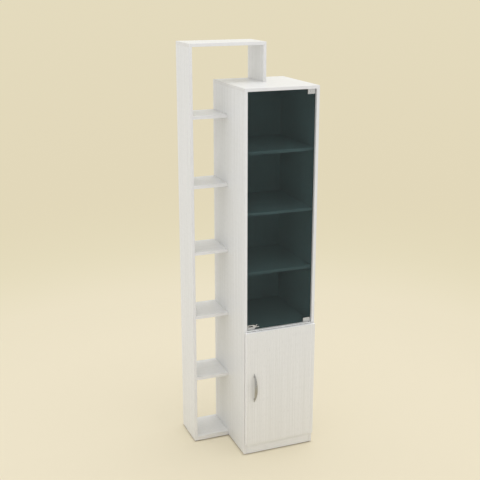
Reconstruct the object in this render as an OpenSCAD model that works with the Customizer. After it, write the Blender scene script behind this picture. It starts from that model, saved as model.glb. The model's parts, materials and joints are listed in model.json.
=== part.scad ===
// Tall cabinet with a glass door above, a solid door below and a shallow open shelf unit at its left side.
// Millimetres. +Z up, +X to the right, the doors face -Y. The origin is the centre of the base.

/* [Boards] */
// Thickness of the laminated board that every panel is cut from
board = 16; // [14:1:20]
// Thickness of the thick base board of the side unit
base_board = 25; // [18:1:30]
// Thickness of the hardboard back
back_t = 3; // [2:0.5:4]
// Gap between the back's rear face and the rear edges of the sides
back_set = 1; // [0.8:0.1:2]
// Width of the rebate that the back lies in
rebate_w = 8; // [6:1:10]

/* [Cabinet] */
// Outer width of the cabinet
cab_w = 400; // [340:10:600]
// Depth of the cabinet's carcass, without its doors
cab_d = 444; // [360:4:560]
// Height of the cabinet above the glides
cab_h = 1960; // [1800:10:2100]
// Height of the plinth boards
plinth_h = 60; // [50:5:100]
// Clear height of the compartment behind the lower door
lower_clear = 618; // [500:1:700]

/* [Side unit] */
// Outer width of the side unit
side_w = 200; // [150:10:320]
// Depth of the side unit
side_d = 211; // [180:1:340]
// Height of the side unit's top above the cabinet's top
side_rise = 200; // [120:5:320]
// Length of the side unit's top panel over the cabinet's top
bridge_w = 211; // [120:1:300]

/* [Shelves] */
// Distance of the inner shelves' front edges behind the carcass front
shelf_set = 25; // [25:1:60]
// Clearance of a loose shelf at each end
shelf_play = 1.2; // [1:0.1:2]
// Diameter of the shelf pins
pin_d = 5; // [4:0.5:6]
// Distance of the shelf pins from the shelf's front and rear edges
pin_in = 60; // [45:5:80]

/* [Glass door] */
// Thickness of the glass
glass_t = 5; // [4:0.5:6]
// Distance of the glass behind the carcass front
glass_set = 14; // [13:0.5:18]
// Gap between the glass and the cabinet's sides
glass_side_gap = 2; // [2:0.25:3]
// Gap between the glass and the boards above and below it
glass_end_gap = 3; // [3:0.5:5]
// Distance of the pivots from the glass's right edge
pivot_in = 6.5; // [6:0.5:8]
// Diameter of the pivot pins
pivot_d = 5; // [4:0.5:6]
// Width of a glass hinge's plates
glass_hinge_w = 41; // [34:1:50]
// Height of a glass hinge's plates over the glass
glass_hinge_h = 23; // [18:1:30]
// Thickness of a glass hinge's plates
hinge_plate_t = 2; // [1.5:0.25:2.5]
// Thickness of the plastic pads between metal and glass
pad_t = 0.5; // [0.4:0.1:1]
// Length of the glass door's clip handle without its tail
clip_l = 46; // [40:1:60]
// Height of the clip handle over the glass
clip_h = 25; // [22:1:32]

/* [Lower door] */
// Thickness of the lower door
door_t = 16; // [16:1:19]
// Gap between the lower door and the carcass front
door_gap = 3; // [3:0.25:4]
// Distance of the lower door's side edges inside the cabinet's outer faces
door_reveal = 3; // [2.5:0.25:4]
// Distance of the lower door's lower edge above the plinth
door_low_gap = 2; // [1:0.5:4]
// Distance of the lower door's upper edge below the middle panel's top
door_top_gap = 4; // [3:0.5:8]
// Distance of the hinge centres from the door's ends
hinge_end = 100; // [80:5:140]
// Diameter of the hinge cups
cup_d = 35; // [34:0.5:36]
// Depth of the hinge cups
cup_depth = 12.5; // [12:0.25:13]
// Diameter of the hinge pins
hinge_pin_d = 3; // [2.5:0.25:3.5]

/* [Door handle] */
// Distance between the handle's two screws
handle_pitch = 128; // [96:32:160]
// Distance that the handle stands out from the door
handle_out = 28; // [24:1:34]
// Greatest width of the handle
handle_w = 17; // [10:1:20]
// Thickness of the handle's bow at its middle
bow_t = 4.5; // [4:0.5:6]
// Distance of the handle's middle line from the door's left edge
handle_in = 47; // [35:1:70]
// Height of the handle's middle above the door's lower edge
handle_up = 331; // [150:1:500]
// Diameter of the handle screws
handle_screw_d = 4; // [3.5:0.5:5]

/* [Feet and fittings] */
// Height of the glides under the boards
glide_h = 4; // [3:0.5:6]
// Diameter of the glides
glide_d = 14; // [12:1:16]
// Distance of the glides from the boards' ends
glide_in = 50; // [30:5:70]
// Diameter of the wooden dowels
dowel_d = 8; // [6:1:8]
// Length of the wooden dowels
dowel_l = 30; // [26:2:34]
// Diameter of the cam locks
cam_d = 15; // [14:0.5:16]
// Distance of a cam lock's centre from the end of its board
cam_in = 24; // [24:1:34]

/* [Hidden] */
$fn = 48;
eps = 0.01;
fine_fn = 96;

// The running clearances
pin_clear = 0.05;
stop_gap = 0.3;

// Overall size and the cabinet's place in it
total_w = side_w + cab_w;
total_d = handle_out + door_t + door_gap + cab_d;
cab_x = side_w - total_w / 2;
front_y = total_d / 2 - cab_d;

// Heights above the floor
z_base = glide_h;
z_bottom = z_base + plinth_h;
z_bottom_top = z_bottom + board;
z_middle = z_bottom_top + lower_clear;
z_middle_top = z_middle + board;
z_top_panel = z_base + cab_h - board;
z_cab_top = z_base + cab_h;
z_side_top = z_cab_top + side_rise;
z_side_panel = z_side_top - board;

// Inner faces of the cabinet and of its rebate
in_x0 = board;
in_x1 = cab_w - board;
back_y1 = cab_d - back_set;
back_y0 = back_y1 - back_t;
side_y0 = cab_d - side_d;

// Equal bays behind the glass and in the side unit
upper_count = 3;
upper_bay = (z_top_panel - z_middle_top - upper_count * board) / (upper_count + 1);
function upper_z(i) = z_middle_top + i * upper_bay + (i - 1) * board;
lower_z = z_bottom_top + (lower_clear - board) / 2;
side_count = 5;
z_side_base = z_base + base_board;
side_bay = (z_side_panel - z_side_base - side_count * board) / (side_count + 1);
function side_z(i) = z_side_base + i * side_bay + (i - 1) * board;
shelf_zs = concat([for (i = [1:upper_count]) upper_z(i)], [lower_z]);
side_mid_zs = concat([z_base + base_board / 2], [for (i = [1:side_count]) side_z(i) + board / 2]);

// Shelves and their pins
shelf_back_gap = 2;
shelf_y1 = back_y0 - shelf_back_gap;
pin_ys = [shelf_set + pin_in, shelf_y1 - pin_in];
pin_hole = 9;
pin_end_gap = 1;
pin_out = 10;
pin_tongue_w = 8;
pin_tongue_t = 2.5;

// Dowel and cam joints
dowel_in = 10;
cam_depth = 12.5;
bolt_r = 3.5;
bolt_thread_r = 2.5;
bolt_thread_l = 10;
bolt_neck_r = 1.7;
bolt_head_r = 2.8;
bolt_head_half = 2;
cam_slot_end = 4;
hex_key_r = 2.5;
hex_key_deep = 2;
cam_end = 60;
dowel_end = 92;
side_fix_end = 40;
cam_ys = [cam_end, back_y0 - cam_end];
dowel_ys = [dowel_end, back_y0 - dowel_end];
side_fix_ys = [side_y0 + side_fix_end, cab_d - side_fix_end];
plinth_dowel_zs = [z_base + plinth_h * 0.25, z_base + plinth_h * 0.75];
rear_plinth_y = back_y0 - board;

// Joint screws of the side unit and their caps
screw_neck_r = 3.5;
screw_thread_r = 2.5;
screw_grip = 34;
hex_r = 2;
hex_deep = 3;
cap_r = 6.5;
cap_t = 0.8;

// Nails of the back
nail_r = 0.8;
nail_l = 16;
nail_head_r = 2.2;
nail_head_t = 0.7;
nail_rows = 9;
nail_end = 30;
nail_xs = [board - rebate_w / 2, cab_w - board + rebate_w / 2];
nail_step = (z_top_panel - z_bottom - 2 * nail_end) / (nail_rows - 1);
function nail_z(k) = z_bottom + nail_end + k * nail_step;

// Glides
glide_nail_r = 1.2;
glide_nail_l = 12;
glide_bevel = 1;

// Glass door
glass_x0 = in_x0 + glass_side_gap;
glass_x1 = in_x1 - glass_side_gap;
glass_y0 = glass_set;
glass_y1 = glass_set + glass_t;
glass_z0 = z_middle_top + glass_end_gap;
glass_z1 = z_top_panel - glass_end_gap;
pivot_x = glass_x1 - pivot_in;
pivot_y = glass_set + glass_t / 2;
web_t = 1.5;
clamp_in = 1;
hinge_x1 = glass_x1 - clamp_in;
hinge_x0 = hinge_x1 - glass_hinge_w;
clamp_y0 = glass_y0 - pad_t - hinge_plate_t;
clamp_y1 = glass_y1 + pad_t + hinge_plate_t;
bush_wall = 1.5;
bush_r = pivot_d / 2 + bush_wall;
bush_flange_r = bush_r + bush_wall;
bush_flange_t = glass_end_gap - web_t - stop_gap;
bush_l = 8;
bush_floor = 1;
pivot_end_gap = 0.5;
pivot_l = bush_flange_t + stop_gap + bush_l - bush_floor - pivot_end_gap;
grub_r = 2;
grub_out = 2;
grub_l = hinge_plate_t + grub_out;
grub_key_deep = 1.5;
grub_in = 10;
grub_pitch = 14;
grub_xs = [hinge_x0 + grub_in, hinge_x0 + grub_in + grub_pitch];
pad_in = 1;

// Clip handle: a plate with a round right end, an oval slot and two prongs
clip_in = 4;
clip_x0 = glass_x0 + clip_in;
clip_x1 = clip_x0 + clip_l;
clip_r = clip_h / 2;
clip_grub_xs = [clip_x0 + grub_in, clip_x1 - grub_in];
clip_rear_low = 2;
slot_in = 8;
slot_l = 26;
slot_w = 6;
slot_z = clip_h * 0.56;
prong_w = 4.5;
prong_root = 4;

// Magnetic catch of the glass door
catch_w = 30;
catch_d = 13;
catch_h = 12;
catch_x = clip_x0 + clip_l / 2 - catch_w / 2;
catch_y = clamp_y1 + stop_gap;
catch_screw_in = 6;
catch_screw_y = catch_y + 8;
catch_screw_r = 1.75;
catch_screw_l = 10;
catch_head_t = 2;

// Lower door
door_x0 = door_reveal;
door_x1 = cab_w - door_reveal;
door_y0 = -door_gap - door_t;
door_y1 = -door_gap;
door_z0 = z_bottom + door_low_gap;
door_z1 = z_middle_top - door_top_gap;
door_chamfer = 2;
handle_x = door_x0 + handle_in;
handle_z = door_z0 + handle_up;
bumper_r = 4;
bumper_x = board / 2 + 1;
bumper_end = 30;

// Concealed hinges: a hooked arm on the cabinet, a cup on the door and one pin
hinge_zs = [door_z0 + hinge_end, door_z1 - hinge_end];
cup_r = cup_d / 2;
cup_wall = 1.2;
cup_edge = 3.5;
cup_x = door_x1 - cup_edge - cup_r;
cup_in_r = cup_r - cup_wall;
hinge_in = 8.5;
hinge_x = door_x1 - hinge_in;
hinge_y = door_y1 - hinge_in;
hinge_pin_l = 19;
cup_flange_t = 1;
ear_in = 3;
ear_gap = 0.5;
cup_flange_w = 13;
cup_flange_h = 55;
cup_screw_x = cup_x - 9.5;
cup_screw_dz = 22.5;
cup_head_t = 1.2;

// The hinge screws have round heads with a six-sided socket
fit_screw_r = 1.75;
fit_head_r = 3.3;
cup_screw_l = 9;
plate_screw_l = 11;
plate_head_t = 1.5;

// The arm is a channel of bent sheet on a plate with two wings
arm_w = 10;
arm_t = 2.4;
hook_l = 15;
hook_x = hinge_x - hook_l;
eye_wall = 1;
plate_t = 3;
plate_l = 50;
plate_y = 37;
plate_h = 50;
wing_t = 2;
wing_w = 14;
plate_lip = 2;
flange_t = 1;
plate_screw_dz = 16;
arm_x1 = in_x1 - plate_t;
arm_x0 = hook_x - arm_t / 2;
arm_y0 = 3;
arm_y1 = 66;
arm_lap = 4;
arm_screw_r = 2.5;
arm_head_r = 4.2;
arm_head_t = 1.8;
arm_screw_y = 50;
ear_z = arm_w / 2 + flange_t + ear_gap;
arm_screw_end = in_x1 - 1.5;
arm_bore_end = in_x1 - 1;
boss_wall = 1.4;

white_c = [0.93, 0.93, 0.91];
steel_c = [0.68, 0.68, 0.67];
glass_c = [0.16, 0.2, 0.19, 0.8];
wood_c = [0.78, 0.66, 0.48];
plastic_c = [0.3, 0.3, 0.3];

// ---------- helpers ----------

// Moves from the cabinet's front left corner on the floor to the part's own frame
module in_cabinet() translate([cab_x, front_y, 0]) children();

// A box between two opposite corners
module block(low, high) translate(low) cube(high - low);

// Round bars that start at a point and run along one axis
module bar_x(p, r, l) translate(p) rotate([0, 90, 0]) cylinder(r = r, h = l);
module bar_y(p, r, l) translate(p) rotate([-90, 0, 0]) cylinder(r = r, h = l);
module bar_z(p, r, l) translate(p) cylinder(r = r, h = l);

// Puts its children at each end of a cabinet board: 0 is the left end, 1 the mirrored right end
module both_ends() {
    children();
    translate([cab_w, 0, 0]) mirror([1, 0, 0]) children();
}

// ---------- joints between boards ----------

// Places for the cams of the horizontal boards between the sides: x is the side's inner face
module at_board_cams() both_ends()
    for (z = [z_bottom, z_middle], y = cam_ys) translate([in_x0, y, z]) children();

// Places for the cams that hold the cabinet's top, at the upper ends of the sides
module at_top_cams() both_ends()
    for (y = cam_ys) translate([board / 2, y, z_top_panel]) children();

// One cam bolt along +X from a side's inner face, at height zero
module cam_bolt() {
    bar_x([-bolt_thread_l, 0, 0], bolt_thread_r, bolt_thread_l);
    bar_x([0, 0, 0], bolt_r, cam_in - cam_d / 2);
    bar_x([0, 0, 0], bolt_neck_r, cam_in);
    bar_x([cam_in - bolt_head_half, 0, 0], bolt_head_r, 2 * bolt_head_half);
}

// The bores for a cam bolt: a thread hole in one board, a clearance hole in the other
module bolt_thread_bore() bar_x([-bolt_thread_l - 1, 0, 0], bolt_thread_r, bolt_thread_l + 1 + eps);
module bolt_shaft_bore() bar_x([-eps, 0, 0], bolt_r, cam_in);

// One cam lock standing in +Z, its centre at the origin and its open side towards -X
module cam_lock() difference() {
    cylinder(r = cam_d / 2, h = cam_depth);
    translate([0, 0, board / 2]) bar_x([-cam_d, 0, 0], bolt_r, cam_d + cam_slot_end);
    translate([0, 0, -eps]) cylinder(r = hex_key_r, h = hex_key_deep, $fn = 6);
}

// The bores of the boards that carry cams in their undersides
module board_cam_bores() both_ends() for (y = cam_ys) translate([in_x0, y, 0]) {
    translate([0, 0, board / 2]) bolt_shaft_bore();
    translate([cam_in, 0, -eps]) cylinder(r = cam_d / 2, h = cam_depth + eps);
}

// Dowels along X between a cabinet side and a board whose middle height is z
module side_dowels(z) both_ends()
    for (y = dowel_ys) bar_x([in_x0 - dowel_in, y, z], dowel_d / 2, dowel_l);

// Dowels along X between a cabinet side and the plinths
module plinth_dowels() both_ends()
    for (z = plinth_dowel_zs, y = [board / 2, rear_plinth_y + board / 2])
        bar_x([in_x0 - dowel_in, y, z], dowel_d / 2, dowel_l);

// Upright dowels between the cabinet's sides and its top
module top_dowels() both_ends()
    for (y = dowel_ys) bar_z([board / 2, y, z_top_panel + dowel_in - dowel_l], dowel_d / 2, dowel_l);

// Dowels between the side unit's upright and its boards
module side_unit_dowels() for (z = side_mid_zs, y = side_fix_ys)
    bar_x([-side_w + board - dowel_in, y, z], dowel_d / 2, dowel_l);

// Upright dowels under the side unit's top panel, in the long and the short upright
module side_top_dowels() for (x = [-side_w + board / 2, bridge_w - board / 2], y = side_fix_ys)
    bar_z([x, y, z_side_panel + dowel_in - dowel_l], dowel_d / 2, dowel_l);

// All dowels, which are also what the boards are bored for
module all_dowels() {
    side_dowels(z_bottom + board / 2);
    side_dowels(z_middle + board / 2);
    plinth_dowels();
    top_dowels();
    side_unit_dowels();
    side_top_dowels();
}

// One joint screw along -X, its head flush at the origin
module joint_screw() {
    bar_x([-board, 0, 0], screw_neck_r, board);
    bar_x([-board - screw_grip, 0, 0], screw_thread_r, screw_grip + eps);
}

// Places of the joint screws: through the cabinet's left side, and up through its top
module at_side_screws() for (z = side_mid_zs, y = side_fix_ys) translate([board, y, z]) children();
module at_top_screws() for (y = side_fix_ys)
    translate([bridge_w - board / 2, y, z_top_panel]) rotate([0, 90, 0]) children();
module all_joint_screws() {
    at_side_screws() joint_screw();
    at_top_screws() joint_screw();
}

// Nails of the back, along -Y from its rear face
module at_nails() for (x = nail_xs, k = [0:nail_rows - 1]) translate([x, back_y1, nail_z(k)]) children();
module nail_shank() bar_y([0, -back_t - nail_l, 0], nail_r, back_t + nail_l + eps);

// ---------- boards ----------

// One side of the cabinet, drawn at the left with all that is cut into both sides
module cabinet_side_blank() difference() {
    block([0, 0, z_base], [board, cab_d, z_top_panel]);
    block([rebate_w, back_y0, z_bottom], [board + 1, cab_d + 1, z_top_panel + 1]);
    for (z = [z_bottom, z_middle], y = cam_ys) translate([in_x0, y, z + board / 2]) bolt_thread_bore();
    for (y = cam_ys) translate([board / 2, y, z_top_panel]) {
        rotate([0, 90, 0]) bolt_shaft_bore();
        translate([board / 2 - cam_depth, 0, -cam_in]) rotate([0, 90, 0])
            cylinder(r = cam_d / 2, h = board);
    }
    for (z = shelf_zs, y = pin_ys) bar_x([board - pin_hole, y, z - pin_d / 2], pin_d / 2, pin_hole + eps);
    glide_nails_at(board / 2, [glide_in, cab_d - glide_in]);
}

module cabinet_left_side() color(white_c) in_cabinet() difference() {
    cabinet_side_blank();
    all_dowels();
    at_nails() nail_shank();
    all_joint_screws();
}

module cabinet_right_side() color(white_c) in_cabinet() difference() {
    translate([cab_w, 0, 0]) mirror([1, 0, 0]) cabinet_side_blank();
    all_dowels();
    at_nails() nail_shank();
    at_plate_screws() plate_screw();
}

module cabinet_top() color(white_c) in_cabinet() difference() {
    block([0, 0, z_top_panel], [cab_w, cab_d, z_cab_top]);
    block([rebate_w, back_y0, z_top_panel - 1], [cab_w - rebate_w, cab_d + 1, z_top_panel + rebate_w]);
    at_top_cams() rotate([0, 90, 0]) bolt_thread_bore();
    top_dowels();
    all_joint_screws();
    bar_z([pivot_x, pivot_y, z_top_panel - eps], bush_r, bush_l + eps);
}

module middle_panel() color(white_c) in_cabinet() difference() {
    block([in_x0, 0, z_middle], [in_x1, back_y0, z_middle_top]);
    translate([0, 0, z_middle]) board_cam_bores();
    side_dowels(z_middle + board / 2);
    bar_z([pivot_x, pivot_y, z_middle_top - bush_l], bush_r, bush_l + eps);
    at_catch_screws() catch_screw();
}

module cabinet_bottom() color(white_c) in_cabinet() difference() {
    block([in_x0, 0, z_bottom], [in_x1, back_y0, z_bottom_top]);
    translate([0, 0, z_bottom]) board_cam_bores();
    side_dowels(z_bottom + board / 2);
}

module plinth(y) color(white_c) in_cabinet() difference() {
    block([in_x0, y, z_base], [in_x1, y + board, z_bottom]);
    plinth_dowels();
}
module front_plinth() plinth(0);
module rear_plinth() plinth(rear_plinth_y);

module back_panel() color(white_c) in_cabinet() difference() {
    block([rebate_w, back_y0, z_bottom], [cab_w - rebate_w, back_y1, z_top_panel + rebate_w]);
    at_nails() nail_shank();
}

module loose_shelf(z) color(white_c) in_cabinet()
    block([in_x0 + shelf_play, shelf_set, z], [in_x1 - shelf_play, shelf_y1, z + board]);
module upper_shelf_1() loose_shelf(upper_z(1));
module upper_shelf_2() loose_shelf(upper_z(2));
module upper_shelf_3() loose_shelf(upper_z(3));
module lower_shelf() loose_shelf(lower_z);

module side_upright() color(white_c) in_cabinet() difference() {
    block([-side_w, side_y0, z_base], [-side_w + board, cab_d, z_side_panel]);
    side_unit_dowels();
    side_top_dowels();
    glide_nails_at(-side_w + board / 2, [side_y0 + glide_in, cab_d - glide_in]);
}

module side_top_panel() color(white_c) in_cabinet() difference() {
    block([-side_w, side_y0, z_side_panel], [bridge_w, cab_d, z_side_top]);
    side_top_dowels();
}

module side_short_upright() color(white_c) in_cabinet() difference() {
    block([bridge_w - board, side_y0, z_cab_top], [bridge_w, cab_d, z_side_panel]);
    side_top_dowels();
    at_top_screws() joint_screw();
}

module side_board(z, t) color(white_c) in_cabinet() difference() {
    block([-side_w + board, side_y0, z], [0, cab_d, z + t]);
    side_unit_dowels();
    at_side_screws() joint_screw();
}
module side_shelf_1() side_board(side_z(1), board);
module side_shelf_2() side_board(side_z(2), board);
module side_shelf_3() side_board(side_z(3), board);
module side_shelf_4() side_board(side_z(4), board);
module side_shelf_5() side_board(side_z(5), board);
module side_base_board() side_board(z_base, base_board);

// ---------- small fittings of the carcass ----------

// A shelf pin: a peg in the side and a flat tongue under the shelf
module shelf_pin() {
    bar_x([pin_end_gap - pin_hole, 0, -pin_d / 2], pin_d / 2, pin_hole - pin_end_gap + pin_out);
    block([0, -pin_tongue_w / 2, -pin_tongue_t], [pin_out, pin_tongue_w / 2, 0]);
}
module shelf_pins() color(steel_c) in_cabinet() both_ends()
    for (z = shelf_zs, y = pin_ys) translate([in_x0, y, z]) shelf_pin();

module glide_nails_at(x, ys) for (y = ys)
    bar_z([x, y, z_base - eps], glide_nail_r, glide_nail_l + eps);
module glides_at(x, ys) for (y = ys) {
    translate([x, y, glide_bevel]) cylinder(r = glide_d / 2, h = glide_h - glide_bevel);
    translate([x, y, 0]) cylinder(r1 = glide_d / 2 - glide_bevel, r2 = glide_d / 2, h = glide_bevel);
    bar_z([x, y, glide_h - eps], glide_nail_r, glide_nail_l);
}
module glides() color(plastic_c) in_cabinet() {
    both_ends() glides_at(board / 2, [glide_in, cab_d - glide_in]);
    glides_at(-side_w + board / 2, [side_y0 + glide_in, cab_d - glide_in]);
}

module dowels() color(wood_c) in_cabinet() all_dowels();

module cam_locks() color(steel_c) in_cabinet() {
    at_board_cams() translate([cam_in, 0, 0]) cam_lock();
    at_top_cams() translate([board / 2, 0, -cam_in]) rotate([0, -90, 0]) rotate(180) cam_lock();
}

// A thin cap over each cam lock
module cam_cover() translate([0, 0, -cap_t]) cylinder(r = cam_d / 2 + 1, h = cap_t);
module cam_covers() color(white_c) in_cabinet() {
    at_board_cams() translate([cam_in, 0, 0]) cam_cover();
    at_top_cams() translate([board / 2, 0, -cam_in]) rotate([0, -90, 0]) cam_cover();
}

module cam_bolts() color(steel_c) in_cabinet() {
    at_board_cams() translate([0, 0, board / 2]) cam_bolt();
    at_top_cams() rotate([0, 90, 0]) cam_bolt();
}

module joint_screws() color(steel_c) in_cabinet() difference() {
    all_joint_screws();
    at_side_screws() bar_x([-hex_deep, 0, 0], hex_r, hex_deep + 1, $fn = 6);
    at_top_screws() bar_x([-hex_deep, 0, 0], hex_r, hex_deep + 1, $fn = 6);
}

module screw_caps() color(white_c) in_cabinet() {
    at_side_screws() bar_x([0, 0, 0], cap_r, cap_t);
    at_top_screws() bar_x([0, 0, 0], cap_r, cap_t);
}

module back_nails() color(steel_c) in_cabinet() at_nails() {
    nail_shank();
    bar_y([0, 0, 0], nail_head_r, nail_head_t);
}

// ---------- glass door ----------

module glass_pane() color(glass_c) in_cabinet()
    block([glass_x0, glass_y0, glass_z0], [glass_x1, glass_y1, glass_z1]);

// A clamp hinge under the glass's lower right corner, drawn with the glass's edge at height zero
module clamp_hinge() {
    difference() {
        block([hinge_x0, clamp_y0, -web_t], [hinge_x1, clamp_y1, glass_hinge_h]);
        block([hinge_x0 - 1, glass_y0 - pad_t, 0], [hinge_x1 + 1, glass_y1 + pad_t, glass_hinge_h + 1]);
        for (x = grub_xs) bar_y([x, glass_y1, glass_hinge_h / 2], grub_r, grub_l);
    }
    bar_z([pivot_x, pivot_y, -web_t - pivot_l], pivot_d / 2, pivot_l + eps);
}
module at_glass_bottom() translate([0, 0, glass_z0]) children();
module at_glass_top() translate([0, 0, glass_z1]) mirror([0, 0, 1]) children();
module glass_hinge_bottom() color(steel_c) in_cabinet() at_glass_bottom() clamp_hinge();
module glass_hinge_top() color(steel_c) in_cabinet() at_glass_top() clamp_hinge();

// The two plastic pads of one clamp between two places along the glass
module clamp_pads(x0, x1, h) for (y = [glass_y0 - pad_t, glass_y1])
    block([x0, y, 0], [x1, y + pad_t, h]);
module glass_hinge_pads() color(plastic_c) in_cabinet() {
    at_glass_bottom() clamp_pads(hinge_x0 + pad_in, hinge_x1 - pad_in, glass_hinge_h - pad_in);
    at_glass_top() clamp_pads(hinge_x0 + pad_in, hinge_x1 - pad_in, glass_hinge_h - pad_in);
}

module grub_screw() difference() {
    bar_y([0, 0, 0], grub_r, grub_l);
    bar_y([0, grub_l - grub_key_deep, 0], grub_r / 2, grub_key_deep + 1, $fn = 6);
}
module clamp_screws() color(steel_c) in_cabinet() {
    for (x = grub_xs) {
        at_glass_bottom() translate([x, glass_y1 + pad_t, glass_hinge_h / 2]) grub_screw();
        at_glass_top() translate([x, glass_y1 + pad_t, glass_hinge_h / 2]) grub_screw();
    }
    at_glass_bottom() for (x = clip_grub_xs)
        translate([x, glass_y1 + pad_t, clip_r]) grub_screw();
}

// A flanged bush in the board below the lower pivot, its flange on the board's face at height zero
module pivot_bush() difference() {
    union() {
        bar_z([pivot_x, pivot_y, -bush_l], bush_r, bush_l + eps);
        bar_z([pivot_x, pivot_y, 0], bush_flange_r, bush_flange_t);
    }
    bar_z([pivot_x, pivot_y, bush_floor - bush_l], pivot_d / 2 + pin_clear, bush_l + bush_flange_t);
}
module pivot_bushes() color(plastic_c) in_cabinet() {
    translate([0, 0, z_middle_top]) pivot_bush();
    translate([0, 0, z_top_panel]) mirror([0, 0, 1]) pivot_bush();
}

// A prong that leaves the clip's round end at an angle
module prong(angle, l) translate([clip_x1 - prong_root, clip_r]) rotate(angle) {
    translate([0, -prong_w / 2]) square([l, prong_w]);
    translate([l, 0]) circle(d = prong_w);
}
module clip_outline() difference() {
    union() {
        translate([clip_x0, 0]) square([clip_l - clip_r, clip_h]);
        translate([clip_x1 - clip_r, clip_r]) circle(r = clip_r);
        prong(48, 16);
        prong(-4, 22);
    }
    translate([clip_x0 + slot_in, slot_z]) square([slot_l - slot_w, slot_w]);
    for (x = [0, slot_l - slot_w])
        translate([clip_x0 + slot_in + x, slot_z + slot_w / 2]) circle(d = slot_w);
}
module clip_handle() color(steel_c) in_cabinet() at_glass_bottom() {
    translate([0, glass_y0 - pad_t, 0]) rotate([90, 0, 0])
        linear_extrude(hinge_plate_t) clip_outline();
    block([clip_x0, clamp_y0, -web_t], [clip_x1 - clip_r, clamp_y1, 0]);
    difference() {
        block([clip_x0, glass_y1 + pad_t, -web_t], [clip_x1, clamp_y1, clip_h - clip_rear_low]);
        for (x = clip_grub_xs) bar_y([x, glass_y1, clip_r], grub_r, grub_l);
    }
}
module clip_pads() color(plastic_c) in_cabinet() at_glass_bottom() {
    block([clip_x0 + pad_in, glass_y0 - pad_t, 0], [clip_x1 - clip_r, glass_y0, clip_r]);
    block([clip_x0 + pad_in, glass_y1, 0],
        [clip_x1 - pad_in, glass_y1 + pad_t, clip_h - clip_rear_low - pad_in]);
}

// The catch is a block on the middle panel that the clip handle's rear plate meets
module at_catch_screws() for (x = [catch_x + catch_screw_in, catch_x + catch_w - catch_screw_in])
    translate([x, catch_screw_y, z_middle_top + catch_h]) children();
module catch_screw() {
    bar_z([0, 0, -catch_h - catch_screw_l], catch_screw_r, catch_h + catch_screw_l);
    bar_z([0, 0, -catch_head_t], 2 * catch_screw_r, catch_head_t);
}
module magnetic_catch() color(white_c) in_cabinet() difference() {
    block([catch_x, catch_y, z_middle_top], [catch_x + catch_w, catch_y + catch_d, z_middle_top + catch_h]);
    at_catch_screws() catch_screw();
}
module catch_screws() color(steel_c) in_cabinet() at_catch_screws() difference() {
    catch_screw();
    translate([0, 0, -catch_head_t / 2]) cylinder(r = catch_screw_r, h = catch_head_t, $fn = 6);
}

// ---------- lower door ----------

module lower_door() color(white_c) in_cabinet() difference() {
    translate([0, 0, door_z0]) linear_extrude(door_z1 - door_z0) polygon([
        [door_x0, door_y0], [door_x1, door_y0], [door_x1, door_y1 - door_chamfer],
        [door_x1 - door_chamfer, door_y1], [door_x0, door_y1]]);
    for (z = hinge_zs) bar_y([cup_x, door_y1 - cup_depth, z], cup_r, cup_depth + 1, $fn = fine_fn);
    at_cup_screws() cup_screw();
    at_handle_screws() bar_y([0, -1, 0], handle_screw_d / 2 + handle_bore_play, door_t + 2);
}

// Puts its children on the door's front face at each end of the handle
module at_handle_screws() for (s = [-1, 1])
    translate([handle_x, door_y0, handle_z + s * handle_pitch / 2]) children();

// The handle: a crescent bow, narrowed to its ends, on two round posts
bow_past = 18;
bow_foot = 6;
bow_half = handle_pitch / 2 + bow_past;
bow_in_half = bow_half - bow_foot;
bow_r = (bow_half * bow_half + handle_out * handle_out) / (2 * handle_out);
bow_in = handle_out - bow_t;
bow_in_r = (bow_in_half * bow_in_half + bow_in * bow_in) / (2 * bow_in);
lens_half = bow_half + bow_foot;
lens_r = (lens_half * lens_half + handle_w * handle_w / 4) / handle_w;
post_r = 4.5;
post_l = 8.5;
handle_thread_l = 6;
handle_bore_play = 0.1;
handle_head_t = 1.8;
handle_key_deep = 1;

module bow_section() difference() {
    intersection() {
        translate([bow_r - handle_out, 0]) circle(r = bow_r, $fn = 180);
        translate([-handle_out - 1, -bow_half - 1]) square([handle_out + 1, 2 * bow_half + 2]);
    }
    translate([bow_in_r - bow_in, 0]) circle(r = bow_in_r, $fn = 180);
}
module bow_outline() intersection() {
    translate([lens_r - handle_w / 2, 0]) circle(r = lens_r, $fn = 180);
    translate([handle_w / 2 - lens_r, 0]) circle(r = lens_r, $fn = 180);
}
module door_handle() color(steel_c) in_cabinet() {
    difference() {
        union() {
            translate([handle_x, door_y0, handle_z]) intersection() {
                translate([-handle_w, 0, 0]) rotate([90, 0, 90])
                    linear_extrude(2 * handle_w) bow_section();
                rotate([90, 0, 0]) linear_extrude(handle_out + 1) bow_outline();
            }
            at_handle_screws() bar_y([0, -post_l, 0], post_r, post_l);
        }
        at_handle_screws() bar_y([0, -handle_thread_l, 0], handle_screw_d / 2, handle_thread_l + 1);
    }
}
module handle_screws() color(steel_c) in_cabinet() at_handle_screws() difference() {
    union() {
        bar_y([0, -handle_thread_l, 0], handle_screw_d / 2, handle_thread_l + door_t + eps);
        bar_y([0, door_t, 0], handle_screw_d, handle_head_t);
    }
    bar_y([0, door_t + handle_head_t - handle_key_deep, 0], handle_screw_d / 2, handle_head_t, $fn = 6);
}

module door_bumpers() color(plastic_c) in_cabinet()
    for (z = [door_z0 + bumper_end, door_z1 - bumper_end])
        bar_y([bumper_x, door_y1, z], bumper_r, door_gap - stop_gap);

// ---------- concealed hinges of the lower door ----------

module at_hinges() for (z = hinge_zs) translate([0, 0, z]) children();

// The hollow of a cup leaves two ears standing, one at each end of the pin
module cup_hollow() difference() {
    bar_y([cup_x, door_y1 - cup_depth + cup_wall, 0], cup_in_r, cup_depth + 2, $fn = fine_fn);
    for (s = [0, 1]) mirror([0, 0, s])
        translate([hinge_x - ear_in, door_y0, ear_z]) cube([cup_r, 2 * door_t, cup_r]);
}

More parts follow.
